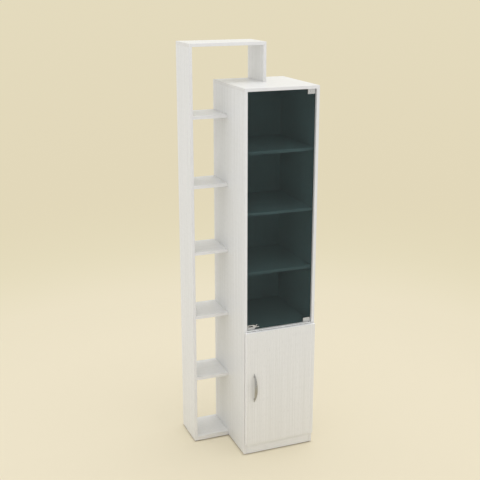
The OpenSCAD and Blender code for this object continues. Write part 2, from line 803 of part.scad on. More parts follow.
// A cup with a flange on the door's rear face, bored across for its pin
module hinge_cups() color(steel_c) in_cabinet() at_hinges() difference() {
    union() {
        bar_y([cup_x, door_y1 - cup_depth, 0], cup_r, cup_depth + cup_flange_t, $fn = fine_fn);
        block([cup_screw_x - cup_flange_w / 2, door_y1, -cup_flange_h / 2],
            [cup_screw_x + cup_flange_w / 2, door_y1 + cup_flange_t, cup_flange_h / 2]);
    }
    cup_hollow();
    bar_z([hinge_x, hinge_y, -hinge_pin_l / 2], hinge_pin_d / 2, hinge_pin_l);
    for (s = [-1, 1]) bar_y([cup_screw_x, door_y1 - 1, s * cup_screw_dz], fit_screw_r, 3);
}

module at_cup_screws() at_hinges() for (s = [-1, 1])
    translate([cup_screw_x, door_y1 + cup_flange_t, s * cup_screw_dz]) children();
module cup_screw() bar_y([0, -cup_flange_t - cup_screw_l, 0], fit_screw_r, cup_flange_t + cup_screw_l);
module hinge_cup_screws() color(steel_c) in_cabinet() at_cup_screws() {
    cup_screw();
    difference() {
        bar_y([0, 0, 0], fit_head_r, cup_head_t);
        bar_y([0, cup_head_t / 2, 0], fit_screw_r, cup_head_t, $fn = 6);
    }
}

module hinge_pins() color(steel_c) in_cabinet() at_hinges()
    bar_z([hinge_x, hinge_y, -hinge_pin_l / 2], hinge_pin_d / 2, hinge_pin_l);

// The hooked arm in plan: an eye on the pin, a run to the left, a neck out of the cup
eye_r = hinge_pin_d / 2 + eye_wall;
module arm_plan() difference() {
    union() {
        translate([hinge_x, hinge_y]) circle(r = eye_r);
        translate([arm_x0, hinge_y - arm_t / 2]) square([hinge_x - arm_x0, arm_t]);
        translate([arm_x0, hinge_y - arm_t / 2]) square([arm_t, arm_y0 + arm_lap - hinge_y]);
    }
    translate([hinge_x, hinge_y]) circle(r = hinge_pin_d / 2 + pin_clear);
}
module hinge_arms() color(steel_c) in_cabinet() at_hinges() {
    translate([0, 0, -arm_w / 2]) linear_extrude(arm_w) arm_plan();
    difference() {
        block([arm_x0, arm_y0, -arm_w / 2 - flange_t], [arm_x1, arm_y1, arm_w / 2 + flange_t]);
        block([arm_x0 + arm_t, arm_y0 - 1, -arm_w / 2], [arm_x1 + 1, arm_y1 + 1, arm_w / 2]);
        bar_x([arm_x0 - 1, arm_screw_y, 0], arm_screw_r, arm_t + 2);
    }
}

module hinge_plates() color(steel_c) in_cabinet() at_hinges() difference() {
    union() {
        block([arm_x1, plate_y - plate_l / 2, -arm_w / 2 - plate_lip],
            [in_x1, plate_y + plate_l / 2, arm_w / 2 + plate_lip]);
        block([in_x1 - wing_t, plate_y - wing_w / 2, -plate_h / 2],
            [in_x1, plate_y + wing_w / 2, plate_h / 2]);
        bar_x([arm_x0 + arm_t, arm_screw_y, 0], arm_screw_r + boss_wall, arm_x1 - arm_x0 - arm_t + eps);
    }
    bar_x([arm_x0, arm_screw_y, 0], arm_screw_r, arm_bore_end - arm_x0);
    for (s = [-1, 1]) bar_x([arm_x1, plate_y, s * plate_screw_dz], fit_screw_r, plate_t + 1);
}

module hinge_arm_screws() color(steel_c) in_cabinet() at_hinges() difference() {
    union() {
        bar_x([arm_x0, arm_screw_y, 0], arm_screw_r, arm_screw_end - arm_x0);
        bar_x([arm_x0 - arm_head_t, arm_screw_y, 0], arm_head_r, arm_head_t);
    }
    bar_x([arm_x0 - arm_head_t - 1, arm_screw_y, 0], fit_screw_r, 2, $fn = 6);
}

module at_plate_screws() at_hinges() for (s = [-1, 1])
    translate([in_x1 - wing_t, plate_y, s * plate_screw_dz]) children();
module plate_screw() bar_x([0, 0, 0], fit_screw_r, wing_t + plate_screw_l);
module hinge_plate_screws() color(steel_c) in_cabinet() at_plate_screws() {
    plate_screw();
    difference() {
        bar_x([-plate_head_t, 0, 0], fit_head_r, plate_head_t);
        bar_x([-plate_head_t - 1, 0, 0], fit_screw_r, 1 + plate_head_t / 2, $fn = 6);
    }
}

cabinet_left_side();
cabinet_right_side();
cabinet_top();
middle_panel();
cabinet_bottom();
front_plinth();
rear_plinth();
back_panel();
upper_shelf_1();
upper_shelf_2();
upper_shelf_3();
lower_shelf();
shelf_pins();
side_upright();
side_top_panel();
side_short_upright();
side_shelf_1();
side_shelf_2();
side_shelf_3();
side_shelf_4();
side_shelf_5();
side_base_board();
glides();
dowels();
cam_locks();
cam_bolts();
cam_covers();
joint_screws();
screw_caps();
back_nails();
glass_pane();
glass_hinge_bottom();
glass_hinge_top();
glass_hinge_pads();
clamp_screws();
pivot_bushes();
clip_handle();
clip_pads();
magnetic_catch();
catch_screws();
lower_door();
door_handle();
handle_screws();
door_bumpers();
hinge_cups();
hinge_cup_screws();
hinge_pins();
hinge_arms();
hinge_arm_screws();
hinge_plates();
hinge_plate_screws();
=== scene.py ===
# %% [markdown]
# # A tall cabinet with a glass door and open side shelves
#
# The real cabinet is a set of boards: chipboard pressed between two white decor sheets, with a thin
# plastic band glued around each sawn edge. A dark glass door hangs in front of the upper shelves, a
# board door covers the lower ones, and a narrow open shelf unit stands along the left side.
#
# The construction file gives every part at its true place, in metres. This script keeps those places
# and only dresses them: each board gets soft edges and a wood decor, and the fittings get their metal.

# %% Load the frame
import json
import bmesh
import bpy
import numpy as np
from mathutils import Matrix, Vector


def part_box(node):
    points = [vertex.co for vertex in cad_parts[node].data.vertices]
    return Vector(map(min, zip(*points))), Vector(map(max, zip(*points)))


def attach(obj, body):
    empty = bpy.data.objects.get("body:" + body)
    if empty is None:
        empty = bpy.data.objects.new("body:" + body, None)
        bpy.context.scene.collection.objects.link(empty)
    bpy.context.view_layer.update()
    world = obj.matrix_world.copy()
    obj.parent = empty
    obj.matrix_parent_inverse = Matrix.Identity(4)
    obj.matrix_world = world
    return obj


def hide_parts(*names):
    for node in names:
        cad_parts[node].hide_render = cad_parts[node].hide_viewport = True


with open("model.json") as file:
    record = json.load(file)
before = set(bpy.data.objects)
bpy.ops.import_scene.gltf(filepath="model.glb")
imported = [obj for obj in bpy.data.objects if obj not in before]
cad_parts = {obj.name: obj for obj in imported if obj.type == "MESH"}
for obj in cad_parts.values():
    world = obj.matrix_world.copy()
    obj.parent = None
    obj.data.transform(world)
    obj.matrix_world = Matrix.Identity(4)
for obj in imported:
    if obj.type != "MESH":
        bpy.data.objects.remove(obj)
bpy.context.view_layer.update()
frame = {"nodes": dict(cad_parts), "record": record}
nodes = frame["nodes"]
MM = 0.001
X, Y, Z = 0, 1, 2

# %% [markdown]
# ## Outlines that are rounded and drawn in
#
# Almost every part here is a plate: an outline with a thickness. A knife-sharp plate looks false,
# because a real edge catches a thin line of light. A Bevel modifier could round it, but a ring-by-ring
# surface gives full control: each ring is the same outline, drawn in a little and lifted a little.

# %% Rings of an outline
def rings_of(corners, radius, insets, steps=3):
    """Rings of a closed outline that runs anticlockwise, one for each inset, as (rings, points, 2).

    Each corner is an arc. Its centre is the corner moved inwards along the mitre, which is the sum of
    the two edge normals divided by one plus their dot product. A point of the arc is the centre plus
    the radius less the inset along the turning normal. Where the inset passes the radius, the arc has
    shrunk to its centre, and the point goes on along the mitre. A hollow corner turns the other way,
    so its radius counts as negative.
    """
    p = np.asarray(corners, float)
    ahead = np.roll(p, -1, 0) - p
    ahead /= np.linalg.norm(ahead, axis=1, keepdims=True)
    behind = np.roll(ahead, 1, 0)
    n0 = np.stack([behind[:, 1], -behind[:, 0]], 1)
    n1 = np.stack([ahead[:, 1], -ahead[:, 0]], 1)
    mitre = (n0 + n1) / (1 + (n0 * n1).sum(1, keepdims=True))
    turn = np.sign(behind[:, :1] * ahead[:, 1:] - behind[:, 1:] * ahead[:, :1])
    signed = turn * np.broadcast_to(np.reshape(radius, (-1, 1)), turn.shape)
    centre = p - signed * mitre
    t = np.linspace(0, 1, steps + 1)[None, :, None]
    normal = n0[:, None] * (1 - t) + n1[:, None] * t
    normal /= np.linalg.norm(normal, axis=2, keepdims=True)
    rings = []
    for inset in insets:
        reach = (signed - inset)[:, None]
        past = (turn[:, None] > 0) & (reach < 0)
        arc = np.where(past, reach * mitre[:, None], reach * normal)
        rings.append((centre[:, None] + arc).reshape(-1, 2))
    return np.array(rings)


trial = rings_of([(0, 0), (1, 0), (1, 1), (0, 1)], 0.1, [0.0, 0.05])
print("a unit square drawn in by 0.05 is", round(np.ptp(trial[1, :, 0]), 3), "wide")

# %% [markdown]
# ## Faces between the rings
#
# Rings that lie over each other form a grid of points, and each cell of the grid becomes one face with
# four corners. The cells are numbered as whole arrays, because a Python loop over thousands of corners
# would be slow. In a closed ring the last point is joined to the first.

# %% Faces of a grid
def grid_quads(rows, columns):
    """Quads between neighbouring closed rows of a grid.

    Point j of row i has the number i times the columns plus j. The next point in the row is j plus
    one, counted round, and the point above is one row's columns further on.
    """
    i = np.arange(rows - 1)[:, None]
    j = np.arange(columns)[None, :]
    k = (j + 1) % columns
    corners = [i * columns + j, i * columns + k, (i + 1) * columns + k, (i + 1) * columns + j]
    return np.stack(corners, -1).reshape(-1, 4)


def end_faces(rows, columns):
    """The two faces that close a stack of rings: the first ring backwards, and the last ring."""
    last = (rows - 1) * columns
    return [list(range(columns))[::-1], list(range(last, last + columns))]


print("faces between three rings of eight points:", len(grid_quads(3, 8)))

# %% [markdown]
# ## A plate
#
# The plate's rim is a quarter circle at each face. A board also has a band: a hair-thin groove runs
# around each face where the band's edge meets the decor sheet, and the faces outside it take the
# band's own finish.

# %% Plate
IN_PLANE = {X: (Y, Z), Y: (Z, X), Z: (X, Y)}
SEAM = 0.12 * MM
GROOVE_RINGS = 3
SHARP = 0.01 * MM


def plate(corners, low, high, across, corner=1.0 * MM, rim=0.7 * MM, band=0.0, steps=3):
    """A closed plate between two heights along one axis, as (points, faces, which faces are band).

    With angle a from 0 to a right angle, a rim ring is drawn in by the rim radius times one less the
    sine of a, and lifted by the rim radius times one less its cosine. The groove of a band is three
    more rings on the face: level, sunk by the seam, and level again.
    """
    a = np.linspace(0, np.pi / 2, steps + 1)
    inset, rise = rim * (1 - np.sin(a)), rim * (1 - np.cos(a))
    if band:
        inset = np.concatenate([[band + SEAM, band, band - SEAM], inset])
        rise = np.concatenate([[0, SEAM, 0], rise])
    height = np.concatenate([low + rise, high - rise[::-1]])
    flat = rings_of(corners, corner, np.concatenate([inset, inset[::-1]]), steps)
    u, v = IN_PLANE[across]
    points = np.empty(flat.shape[:2] + (3,))
    points[..., u], points[..., v], points[..., across] = flat[..., 0], flat[..., 1], height[:, None]
    rows, columns = points.shape[:2]
    quads = grid_quads(rows, columns)
    ring = np.repeat(np.arange(rows - 1), columns)
    outer = (ring >= GROOVE_RINGS - 1) & (ring < rows - GROOVE_RINGS)
    banded = outer if band else np.zeros(len(ring), bool)
    faces = quads.tolist() + end_faces(rows, columns)
    return points.reshape(-1, 3), faces, banded.tolist() + [False, False]


def rectangle(low, high, across):
    """The four corners of a box seen along one axis, anticlockwise."""
    u, v = IN_PLANE[across]
    return [(low[u], low[v]), (high[u], low[v]), (high[u], high[v]), (low[u], high[v])]


def sharp_plate(corners, low, high, across):
    """A plate with sharp edges, as (points, faces): a tool that cuts, and is never seen itself."""
    return plate(corners, low, high, across, corner=SHARP, rim=SHARP, steps=1)[:2]


trial = plate([(0, 0), (0.4, 0), (0.4, 0.3), (0, 0.3)], 0.0, 16 * MM, Z, band=MM)
print("a banded plate:", len(trial[0]), "points,", len(trial[1]), "faces,", sum(trial[2]), "of them band")

# %% [markdown]
# ## Turned shapes
#
# Caps, bumpers and posts are round, so a profile turned about its axis draws them. One turned shape is
# computed once, aimed along the axis it needs, and placed at every spot where the frame has such a part.

# %% Turned
def turned(profile, segments=32):
    """A profile of (radius, height) turned about Z: x is radius times cosine, y is radius times sine."""
    r, h = np.asarray(profile, float).T
    t = np.arange(segments) * 2 * np.pi / segments
    level = np.broadcast_to(h[:, None], (len(h), segments))
    points = np.stack([r[:, None] * np.cos(t), r[:, None] * np.sin(t), level], -1)
    return points.reshape(-1, 3), grid_quads(len(h), segments).tolist() + end_faces(len(h), segments)


def aim(points, towards):
    """Turns points from +Z to another axis and sign.

    The three axes are passed on in a ring, and a negative sign is half a turn about X, so that
    nothing is mirrored and the faces still point outwards.
    """
    axis, sign = towards
    order = {X: (2, 0, 1), Y: (1, 2, 0), Z: (0, 1, 2)}[axis]
    flipped = points if sign > 0 else points * (1, -1, -1)
    return flipped[:, order]


def copies(shape, places):
    """One shape repeated at each place: the points are shifted and the faces are numbered on."""
    points, faces = shape
    count = len(points)
    moved = (np.asarray(places, float)[:, None] + points[None]).reshape(-1, 3)
    return moved, [[k + i * count for k in face] for i in range(len(places)) for face in faces]


trial = turned([(4 * MM, 0), (4 * MM, 2 * MM)], 8)
print("a turned disc:", len(trial[0]), "points,", len(trial[1]), "faces")

# %% [markdown]
# ## Where the frame's small parts are
#
# Screws, cups and caps of one kind share a node, as separate solids in one mesh. To set a dome or bore
# a hole at each of them, the mesh is walked from point to point: what can't be reached is another
# solid. The box of each solid tells its place and its size.

# %% Boxes of the separate solids
SAME_POINT = 0.01 * MM


def loose_boxes(node):
    """The box of each separate solid in a CAD node, as (solids, 2, 3)."""
    mesh = bmesh.new()
    mesh.from_mesh(nodes[node].data)
    bmesh.ops.remove_doubles(mesh, verts=mesh.verts, dist=SAME_POINT)
    seen, boxes = set(), []
    for start in mesh.verts:
        if start in seen:
            continue
        seen.add(start)
        queue = [start]
        for v in queue:
            fresh = [w for e in v.link_edges for w in e.verts if w not in seen]
            seen.update(fresh)
            queue.extend(fresh)
        co = np.array([v.co for v in queue])
        boxes.append((co.min(0), co.max(0)))
    mesh.free()
    return np.array(boxes)


print("hinge cups found in the frame:", len(loose_boxes("hinge_cups")))

# %% [markdown]
# ## From arrays to a piece
#
# A piece joins its shapes into one mesh, and points that fell together at the corners are merged. Its
# object stays at the origin and the place is in the mesh, as it is in the frame's own nodes.

# %% Piece
MERGE, COLLAPSED = 0.002 * MM, 0.001 * MM


def mesh_of(name, points, faces, materials=(), number_of=None):
    """A mesh with its materials; number_of says for each face which of them it takes."""
    mesh = bpy.data.meshes.new(name)
    mesh.from_pydata(points.tolist(), [], faces)
    for material in materials:
        mesh.materials.append(material)
    if number_of is not None:
        mesh.polygons.foreach_set("material_index", np.array(number_of, np.int32))
    work = bmesh.new()
    work.from_mesh(mesh)
    bmesh.ops.remove_doubles(work, verts=work.verts, dist=MERGE)
    bmesh.ops.dissolve_degenerate(work, edges=work.edges, dist=COLLAPSED)
    work.to_mesh(mesh)
    work.free()
    return mesh


def piece(name, shapes, materials, number_of=None):
    """A new object from one shape or several: points are stacked and faces numbered on."""
    start, points, faces = 0, [], []
    for p, f in shapes:
        points.append(p)
        faces += [[k + start for k in face] for face in f]
        start += len(p)
    mesh = mesh_of(name, np.concatenate(points), faces, materials, number_of)
    obj = bpy.data.objects.new(name, mesh)
    bpy.context.scene.collection.objects.link(obj)
    return obj


def numbers_of(items, key, kind, width=1):
    """One property of all of a mesh's elements as an array."""
    values = np.empty(len(items) * width, kind)
    items.foreach_get(key, values)
    return values.reshape(-1, width) if width > 1 else values


trial = mesh_of("trial", *sharp_plate([(0, 0), (1, 0), (1, 1), (0, 1)], 0.0, 1.0, Z))
print("a sharp plate as a mesh:", len(trial.vertices), "points,", len(trial.polygons), "faces")
bpy.data.meshes.remove(trial)

# %% [markdown]
# ## Cutting with a second shape
#
# The hinge cups sit in bores, and the back panel lies in a rebate, a step cut along the boards' rear
# edges. Such cuts could be worked into the plate's formula, but an exact Boolean is simpler and is just
# what a router does. The result is stored in the mesh, so no modifier is left.

# %% Cut
def cut(obj, cutters):
    """Takes the cutters' shapes out of a piece one by one, and keeps only the result."""
    for points, faces in cutters:
        tool = bpy.data.objects.new("cutter", mesh_of("cutter", points, faces))
        bpy.context.scene.collection.objects.link(tool)
        modifier = obj.modifiers.new("cut", "BOOLEAN")
        modifier.operation, modifier.solver, modifier.object = "DIFFERENCE", "EXACT", tool
        bpy.context.view_layer.update()
        seen_as = obj.evaluated_get(bpy.context.evaluated_depsgraph_get())
        solid = bpy.data.meshes.new_from_object(seen_as)
        obj.modifiers.clear()
        obj.data = solid
        bpy.data.objects.remove(tool)


print("boards will be cut with", len(loose_boxes("hinge_cups")), "bores and the back panel's rebate")

# %% [markdown]
# ## The place on the decor sheet
#
# A maker saws all boards from large decor sheets, so no two boards show the same part of the grain.
# Each corner of a board's mesh gets its place on such a sheet as a UV map, and each board is cut
# elsewhere. Box projection in the shader would blend at the edges; a map keeps the grain crisp.

# %% Grain coordinates
SHEET_STEP = (1.37, 0.713)


def lay_grain(mesh, along, number):
    """Gives each corner its place on the decor sheet, in metres.

    The first number is the place along the grain, and the second the sum of the other two, so that
    the pattern runs on over an edge. On the board's ends the first would stand still, so there it is
    the place along the end's longer side. The board's number shifts both.
    """
    co = numbers_of(mesh.vertices, "co", np.float32, 3)
    short, long = sorted((k for k in (X, Y, Z) if k != along), key=lambda k: np.ptp(co[:, k]))
    at = co[numbers_of(mesh.loops, "vertex_index", np.int32)]
    facing = abs(numbers_of(mesh.polygons, "normal", np.float32, 3)).argmax(1)
    end = np.repeat(facing == along, numbers_of(mesh.polygons, "loop_total", np.int32))
    u = np.where(end, at[:, long], at[:, along]) + SHEET_STEP[0] * number
    v = np.where(end, at[:, short] + at[:, along], at[:, short] + at[:, long]) + SHEET_STEP[1] * number
    layer = mesh.uv_layers.new(name="sheet")
    layer.data.foreach_set("uv", np.stack([u, v], 1).astype(np.float32).ravel())


print("each board lies", SHEET_STEP, "metres further on the sheet than the last")

# %% [markdown]
# ## Finishing a piece
#
# A piece is shaded smoothly except across real creases, and a Weighted Normal modifier keeps its wide
# faces flat in the light. It hides the CAD node that it stands for, and rides on that node's body, so
# that it moves when the body moves.

# %% Finish
body_of = {n: body for body, members in frame["record"]["behaviour"]["bodies"].items() for n in members}
CREASE = np.radians(38)


def finish(obj, node):
    """Smooths a piece, hides the CAD node that it stands for and sends it with that node's body."""
    obj.data.shade_smooth()
    obj.data.set_sharp_from_angle(angle=CREASE)
    obj.modifiers.new("flat faces", "WEIGHTED_NORMAL").keep_sharp = True
    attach(obj, body_of[node])
    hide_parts(node)
    return obj


print("bodies that pieces can ride on:", sorted(set(body_of.values())))

# %% [markdown]
# ## Colours
#
# Colours are written as they would be picked on a screen, from 0 to 255, and turned to the linear
# values that the shaders need. Writing linear values by hand would be hard to judge by eye.

# %% Linear colour
def linear(r, g, b):
    """The screen curve undone: a low value is divided by 12.92, a higher one is raised to 2.4."""
    c = np.array([r, g, b]) / 255
    low, high = c / 12.92, ((c + 0.055) / 1.055) ** 2.4
    return tuple(np.where(c <= 0.04045, low, high)) + (1.0,)


def scaled(colour, share):
    """A colour made darker or brighter by one factor."""
    return tuple(share * c for c in colour[:3]) + (1.0,)


print("screen grey 128 is", round(float(linear(128, 128, 128)[0]), 3), "of full light")

# %% [markdown]
# ## Wiring materials
#
# A material is a small circuit of nodes. A Principled shader stands at its end, and each of its sockets
# takes either a plain value or the output of another node. Wiring every socket by hand takes many
# lines, so three helpers start a material, add a node and feed the shader.

# %% Nodes and sockets
def new_material(name):
    """A material with its node tree and its Principled shader."""
    material = bpy.data.materials.new(name)
    material.use_nodes = True
    tree = material.node_tree
    return material, tree, tree.nodes["Principled BSDF"]


def add(tree, kind, inputs=None, **settings):
    """One node with its settings; an input takes a plain value or another node's output."""
    node = tree.nodes.new("ShaderNode" + kind)
    for key, value in settings.items():
        setattr(node, key, value)
    for key, value in (inputs or {}).items():
        if isinstance(value, bpy.types.NodeSocket):
            tree.links.new(value, node.inputs[key])
        else:
            node.inputs[key].default_value = value
    return node


def feed(tree, shader, **sockets):
    """Joins outputs to the shader's sockets, which are named with a low line for each space."""
    for name, output in sockets.items():
        tree.links.new(output, shader.inputs[name.replace("_", " ")])


trial = new_material("trial")
print("sockets of a Principled shader:", len(trial[2].inputs))
bpy.data.materials.remove(trial[0])

# %% [markdown]
# ## Steps that all finishes share
#
# Every finish here is made in the same few steps: a noise gives an uneven value, a range stretches it,
# a mix turns it into a colour between two, and a bump turns it into a low relief. A real surface is
# uneven in all of these at once, so one noise often drives colour, roughness and relief together.

# %% Steps of a finish
MIX_SHARE, MIX_FIRST, MIX_SECOND, MIX_RESULT = 0, 6, 7, 2


def object_place(tree):
    """The place in the object's own coordinates, which here are metres in the cabinet's frame."""
    return add(tree, "TexCoord").outputs["Object"]


def maths(tree, operation, *values):
    """One sum on plain numbers: the output of a Math node."""
    return add(tree, "Math", dict(enumerate(values)), operation=operation).outputs[0]


def vectors(tree, operation, *values, output="Vector"):
    """One sum on vectors: an output of a Vector Math node."""
    return add(tree, "VectorMath", dict(enumerate(values)), operation=operation).outputs[output]


def noise(tree, place, scale, detail, **settings):
    """A soft random value between 0 and 1, with scale cells per metre and finer octaves by detail."""
    inputs = {"Vector": place, "Scale": scale, "Detail": detail}
    return add(tree, "TexNoise", inputs, **settings).outputs[0]


def ranged(tree, value, start, end, low=0.0, high=1.0, **settings):
    """A value carried from one range to another, and held at its ends."""
    inputs = {"Value": value, "From Min": start, "From Max": end, "To Min": low, "To Max": high}
    return add(tree, "MapRange", inputs, **settings).outputs[0]


def blended(tree, share, first, second):
    """A colour between two: the Mix node keeps its colour sockets at their own numbers."""
    inputs = {MIX_SHARE: share, MIX_FIRST: first, MIX_SECOND: second}
    return add(tree, "Mix", inputs, data_type="RGBA").outputs[MIX_RESULT]


def relief(tree, height, strength, depth, **settings):
    """A bump from a height between 0 and 1, which stands for a real depth in metres."""
    inputs = {"Height": height, "Strength": strength, "Distance": depth}
    return add(tree, "Bump", inputs, **settings).outputs[0]


print("the Mix node's colour sockets:", MIX_FIRST, MIX_SECOND, "and its result:", MIX_RESULT)

# %% [markdown]
# ## The decor's grain
#
# White wood decor has faint bands as wide as a finger, finer streaks inside them, and short pores that
# are pressed into the surface. All three are noise stretched along the grain, so they share one node
# group that every board material uses with its own values.

# %% Grain group
BAND_SHARE = 0.65
STREAKS_SEEN, PORES_SEEN = (0.36, 0.64), (0.6, 0.72)
GRAIN_INPUTS = {"Bands per metre": 130.0, "Streaks per metre": 420.0, "Pores per metre": 1100.0}


def grain_group():
    """Three stretched noises: bands and streaks are added by their shares, and pores stay apart."""
    tree = bpy.data.node_groups.new("decor grain", "ShaderNodeTree")
    sockets = tree.interface
    sockets.new_socket("Vector", in_out="INPUT", socket_type="NodeSocketVector")
    for name, value in GRAIN_INPUTS.items():
        socket = sockets.new_socket(name, in_out="INPUT", socket_type="NodeSocketFloat")
        socket.default_value = value
    for name in ("Streaks", "Pores"):
        sockets.new_socket(name, in_out="OUTPUT", socket_type="NodeSocketFloat")
    inside, outside = tree.nodes.new("NodeGroupInput"), tree.nodes.new("NodeGroupOutput")

    def stretched(count, along, detail):
        """Noise with a given number of cells across the grain and a few along it, per metre."""
        cells = add(tree, "CombineXYZ", {"X": along, "Y": inside.outputs[count], "Z": 1.0})
        place = vectors(tree, "MULTIPLY", inside.outputs["Vector"], cells.outputs[0])
        return noise(tree, place, scale=1.0, detail=detail, noise_dimensions="2D")

    bands = stretched("Bands per metre", along=1.1, detail=2.0)
    streaks = stretched("Streaks per metre", along=5.0, detail=3.0)
    pores = stretched("Pores per metre", along=32.0, detail=1.0)
    wide = maths(tree, "MULTIPLY", bands, BAND_SHARE)
    both = maths(tree, "MULTIPLY_ADD", streaks, 1 - BAND_SHARE, wide)
    tree.links.new(ranged(tree, both, *STREAKS_SEEN), outside.inputs["Streaks"])
    tree.links.new(ranged(tree, pores, *PORES_SEEN), outside.inputs["Pores"])
    return tree


GRAIN = grain_group()
print("nodes in the grain group:", len(GRAIN.nodes))

# %% [markdown]
# ## White decor, bands and raw board
#
# All board finishes are the same wood decor with other numbers: the sheet itself, the door's sheet with
# a finer grain, the plastic bands with hardly any, a band painted brighter as painted light, the raw
# chipboard, whose dark colour under the boards is also painted shade, and the hardboard back. So one
# function makes them all, and the list below reads like a maker's sample card.

# %% Decor
PORE_TONE, PORE_ROUGH = 0.94, 0.12
STREAK_HEIGHT, DECOR_RELIEF = 0.3, 0.35


def decor(name, light, dark, roughness, pore_depth, bands=GRAIN_INPUTS["Bands per metre"]):
    """White decor: colour runs between two whites with the streaks, and pores are darker and rougher."""
    material, tree, shader = new_material(name)
    grain = tree.nodes.new("ShaderNodeGroup")
    grain.node_tree = GRAIN
    grain.inputs["Bands per metre"].default_value = bands
    tree.links.new(add(tree, "UVMap", uv_map="sheet").outputs[0], grain.inputs["Vector"])
    streaks, pores = grain.outputs["Streaks"], grain.outputs["Pores"]
    white = blended(tree, streaks, light, dark)
    height = maths(tree, "MULTIPLY_ADD", streaks, STREAK_HEIGHT, pores)
    feed(tree, shader,
         Base_Color=blended(tree, pores, white, scaled(dark, PORE_TONE)),
         Roughness=ranged(tree, pores, 0.0, 1.0, roughness, roughness + PORE_ROUGH),
         Normal=relief(tree, height, DECOR_RELIEF, pore_depth, invert=True))
    return material


DECOR = decor("white wood decor", linear(236, 236, 235), linear(228, 228, 226),
              roughness=0.42, pore_depth=0.08 * MM)
DOOR_DECOR = decor("white wood decor of the door", linear(230, 229, 226), linear(221, 220, 216),
                   roughness=0.42, pore_depth=0.1 * MM, bands=250.0)
BAND = decor("white edge band", linear(230, 229, 227), linear(226, 225, 223),
             roughness=0.36, pore_depth=0.03 * MM, bands=60.0)
DOOR_BAND = decor("white edge band of the door", linear(240, 239, 238), linear(236, 235, 234),
                  roughness=0.36, pore_depth=0.03 * MM, bands=60.0)
# Painted light: this band is painted brighter than the plain band, for more light on the edges it covers
# than the lamps give; it is also glossier.
PAINTED_LIGHT_GLOSS = {"light": linear(250, 250, 249), "dark": linear(247, 247, 246),
         "roughness": 0.3, "pore_depth": 0.02 * MM, "bands": 60.0}
PAINTED_LIGHT_BAND = decor("gloss white edge band painted brighter", **PAINTED_LIGHT_GLOSS)
# Raw chipboard: on the boards' undersides its dark colour is also painted shade in the gap over the floor.
RAW_AND_SHADE = decor("raw chipboard, dark as painted shade below", linear(176, 148, 112), linear(146, 118, 84),
            roughness=0.8, pore_depth=0.2 * MM, bands=500.0)
BACKING = decor("white hardboard", linear(232, 232, 230), linear(227, 227, 224),
                roughness=0.55, pore_depth=0.04 * MM, bands=60.0)
print("board finishes:", [m.name for m in (DECOR, DOOR_DECOR, BAND, DOOR_BAND, PAINTED_LIGHT_BAND, RAW_AND_SHADE, BACKING)])

# %% [markdown]
# ## The dark crack over the lower door
#
# A crack of a few millimetres runs between the middle panel and the lower door. The shade in it is
# painted as a thin dark line on the middle panel's edges. The line is a mask on the height of the
# surface point: full at the door's top edge, and faded out a millimetre and a half above and below.

# %% Painted shade line
# Painted shade: the line's dark colour stands for the shade in the crack over the lower door.
LINE_HALF, LINE_CORE, LINE_SHARE = 1.5 * MM, 0.6, 0.85
LINE_BELOW_DOOR_TOP = 0.2 * MM
PAINTED_SHADE_COLOUR = linear(84, 82, 79)


def painted_shade_line(material, middle, colour):
    """Painted shade in a crack: its share is full up to the core's width from the middle height, then
    fades.
    """
    tree = material.node_tree
    shader = tree.nodes["Principled BSDF"]
    unshaded = shader.inputs["Base Color"].links[0].from_socket
    height = add(tree, "SeparateXYZ", {0: object_place(tree)}).outputs["Z"]
    off = maths(tree, "ABSOLUTE", maths(tree, "SUBTRACT", height, middle))
    shade_share = ranged(tree, off, LINE_CORE * LINE_HALF, LINE_HALF, LINE_SHARE, 0.0)
    feed(tree, shader, Base_Color=blended(tree, shade_share, unshaded, colour))
    return material


crack_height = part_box("lower_door")[1].z - LINE_BELOW_DOOR_TOP
# The middle panel's band gets the painted shade line at the lower door's top edge.
CRACK_BAND = painted_shade_line(decor("gloss white edge band with a dust line", **PAINTED_LIGHT_GLOSS), crack_height, PAINTED_SHADE_COLOUR)
print("the dark line lies", round(crack_height / MM, 1), "mm above the floor")

# %% [markdown]
# ## The boards
#
# Every board node is replaced by a plate of the same box, with softened arrises and a band around it.
# The grain runs up the uprights and across the shelves, as a maker saws them from the sheet. Where a
# board ends just above the floor, its underside is raw chipboard, because nobody bands what nobody sees;
# its dark colour is also painted shade that keeps the gap over the floor dark. The front plinth is a
# hair short of the sides, which draws a fine line at each of its ends.

# %% One board
GRAIN_ALONG = {
    Z: ["cabinet_left_side", "cabinet_right_side", "side_upright", "side_short_upright"],
    X: ["cabinet_top", "middle_panel", "cabinet_bottom", "front_plinth", "rear_plinth", "upper_shelf_1",
        "upper_shelf_2", "upper_shelf_3", "lower_shelf", "side_top_panel", "side_shelf_1", "side_shelf_2",
        "side_shelf_3", "side_shelf_4", "side_shelf_5", "side_base_board"],
}
BAND_T = 1.0 * MM
HAIRLINE = Vector((0.9 * MM, 0, 0))
NEAR_FLOOR, UNDERSIDE = 5 * MM, 0.2 * MM
BAND_SLOT, RAW_AND_SHADE_SLOT, SIDE_BAND_SLOT = 1, 2, 3


def raw_and_shaded_below(mesh, height):
    """The faces that only the floor sees show the raw chipboard, whose dark colour is also painted shade
    in the gap under the boards.
    """
    which = numbers_of(mesh.polygons, "material_index", np.int32)
    which[numbers_of(mesh.polygons, "center", np.float32, 3)[:, Z] < height] = RAW_AND_SHADE_SLOT
    mesh.polygons.foreach_set("material_index", which)


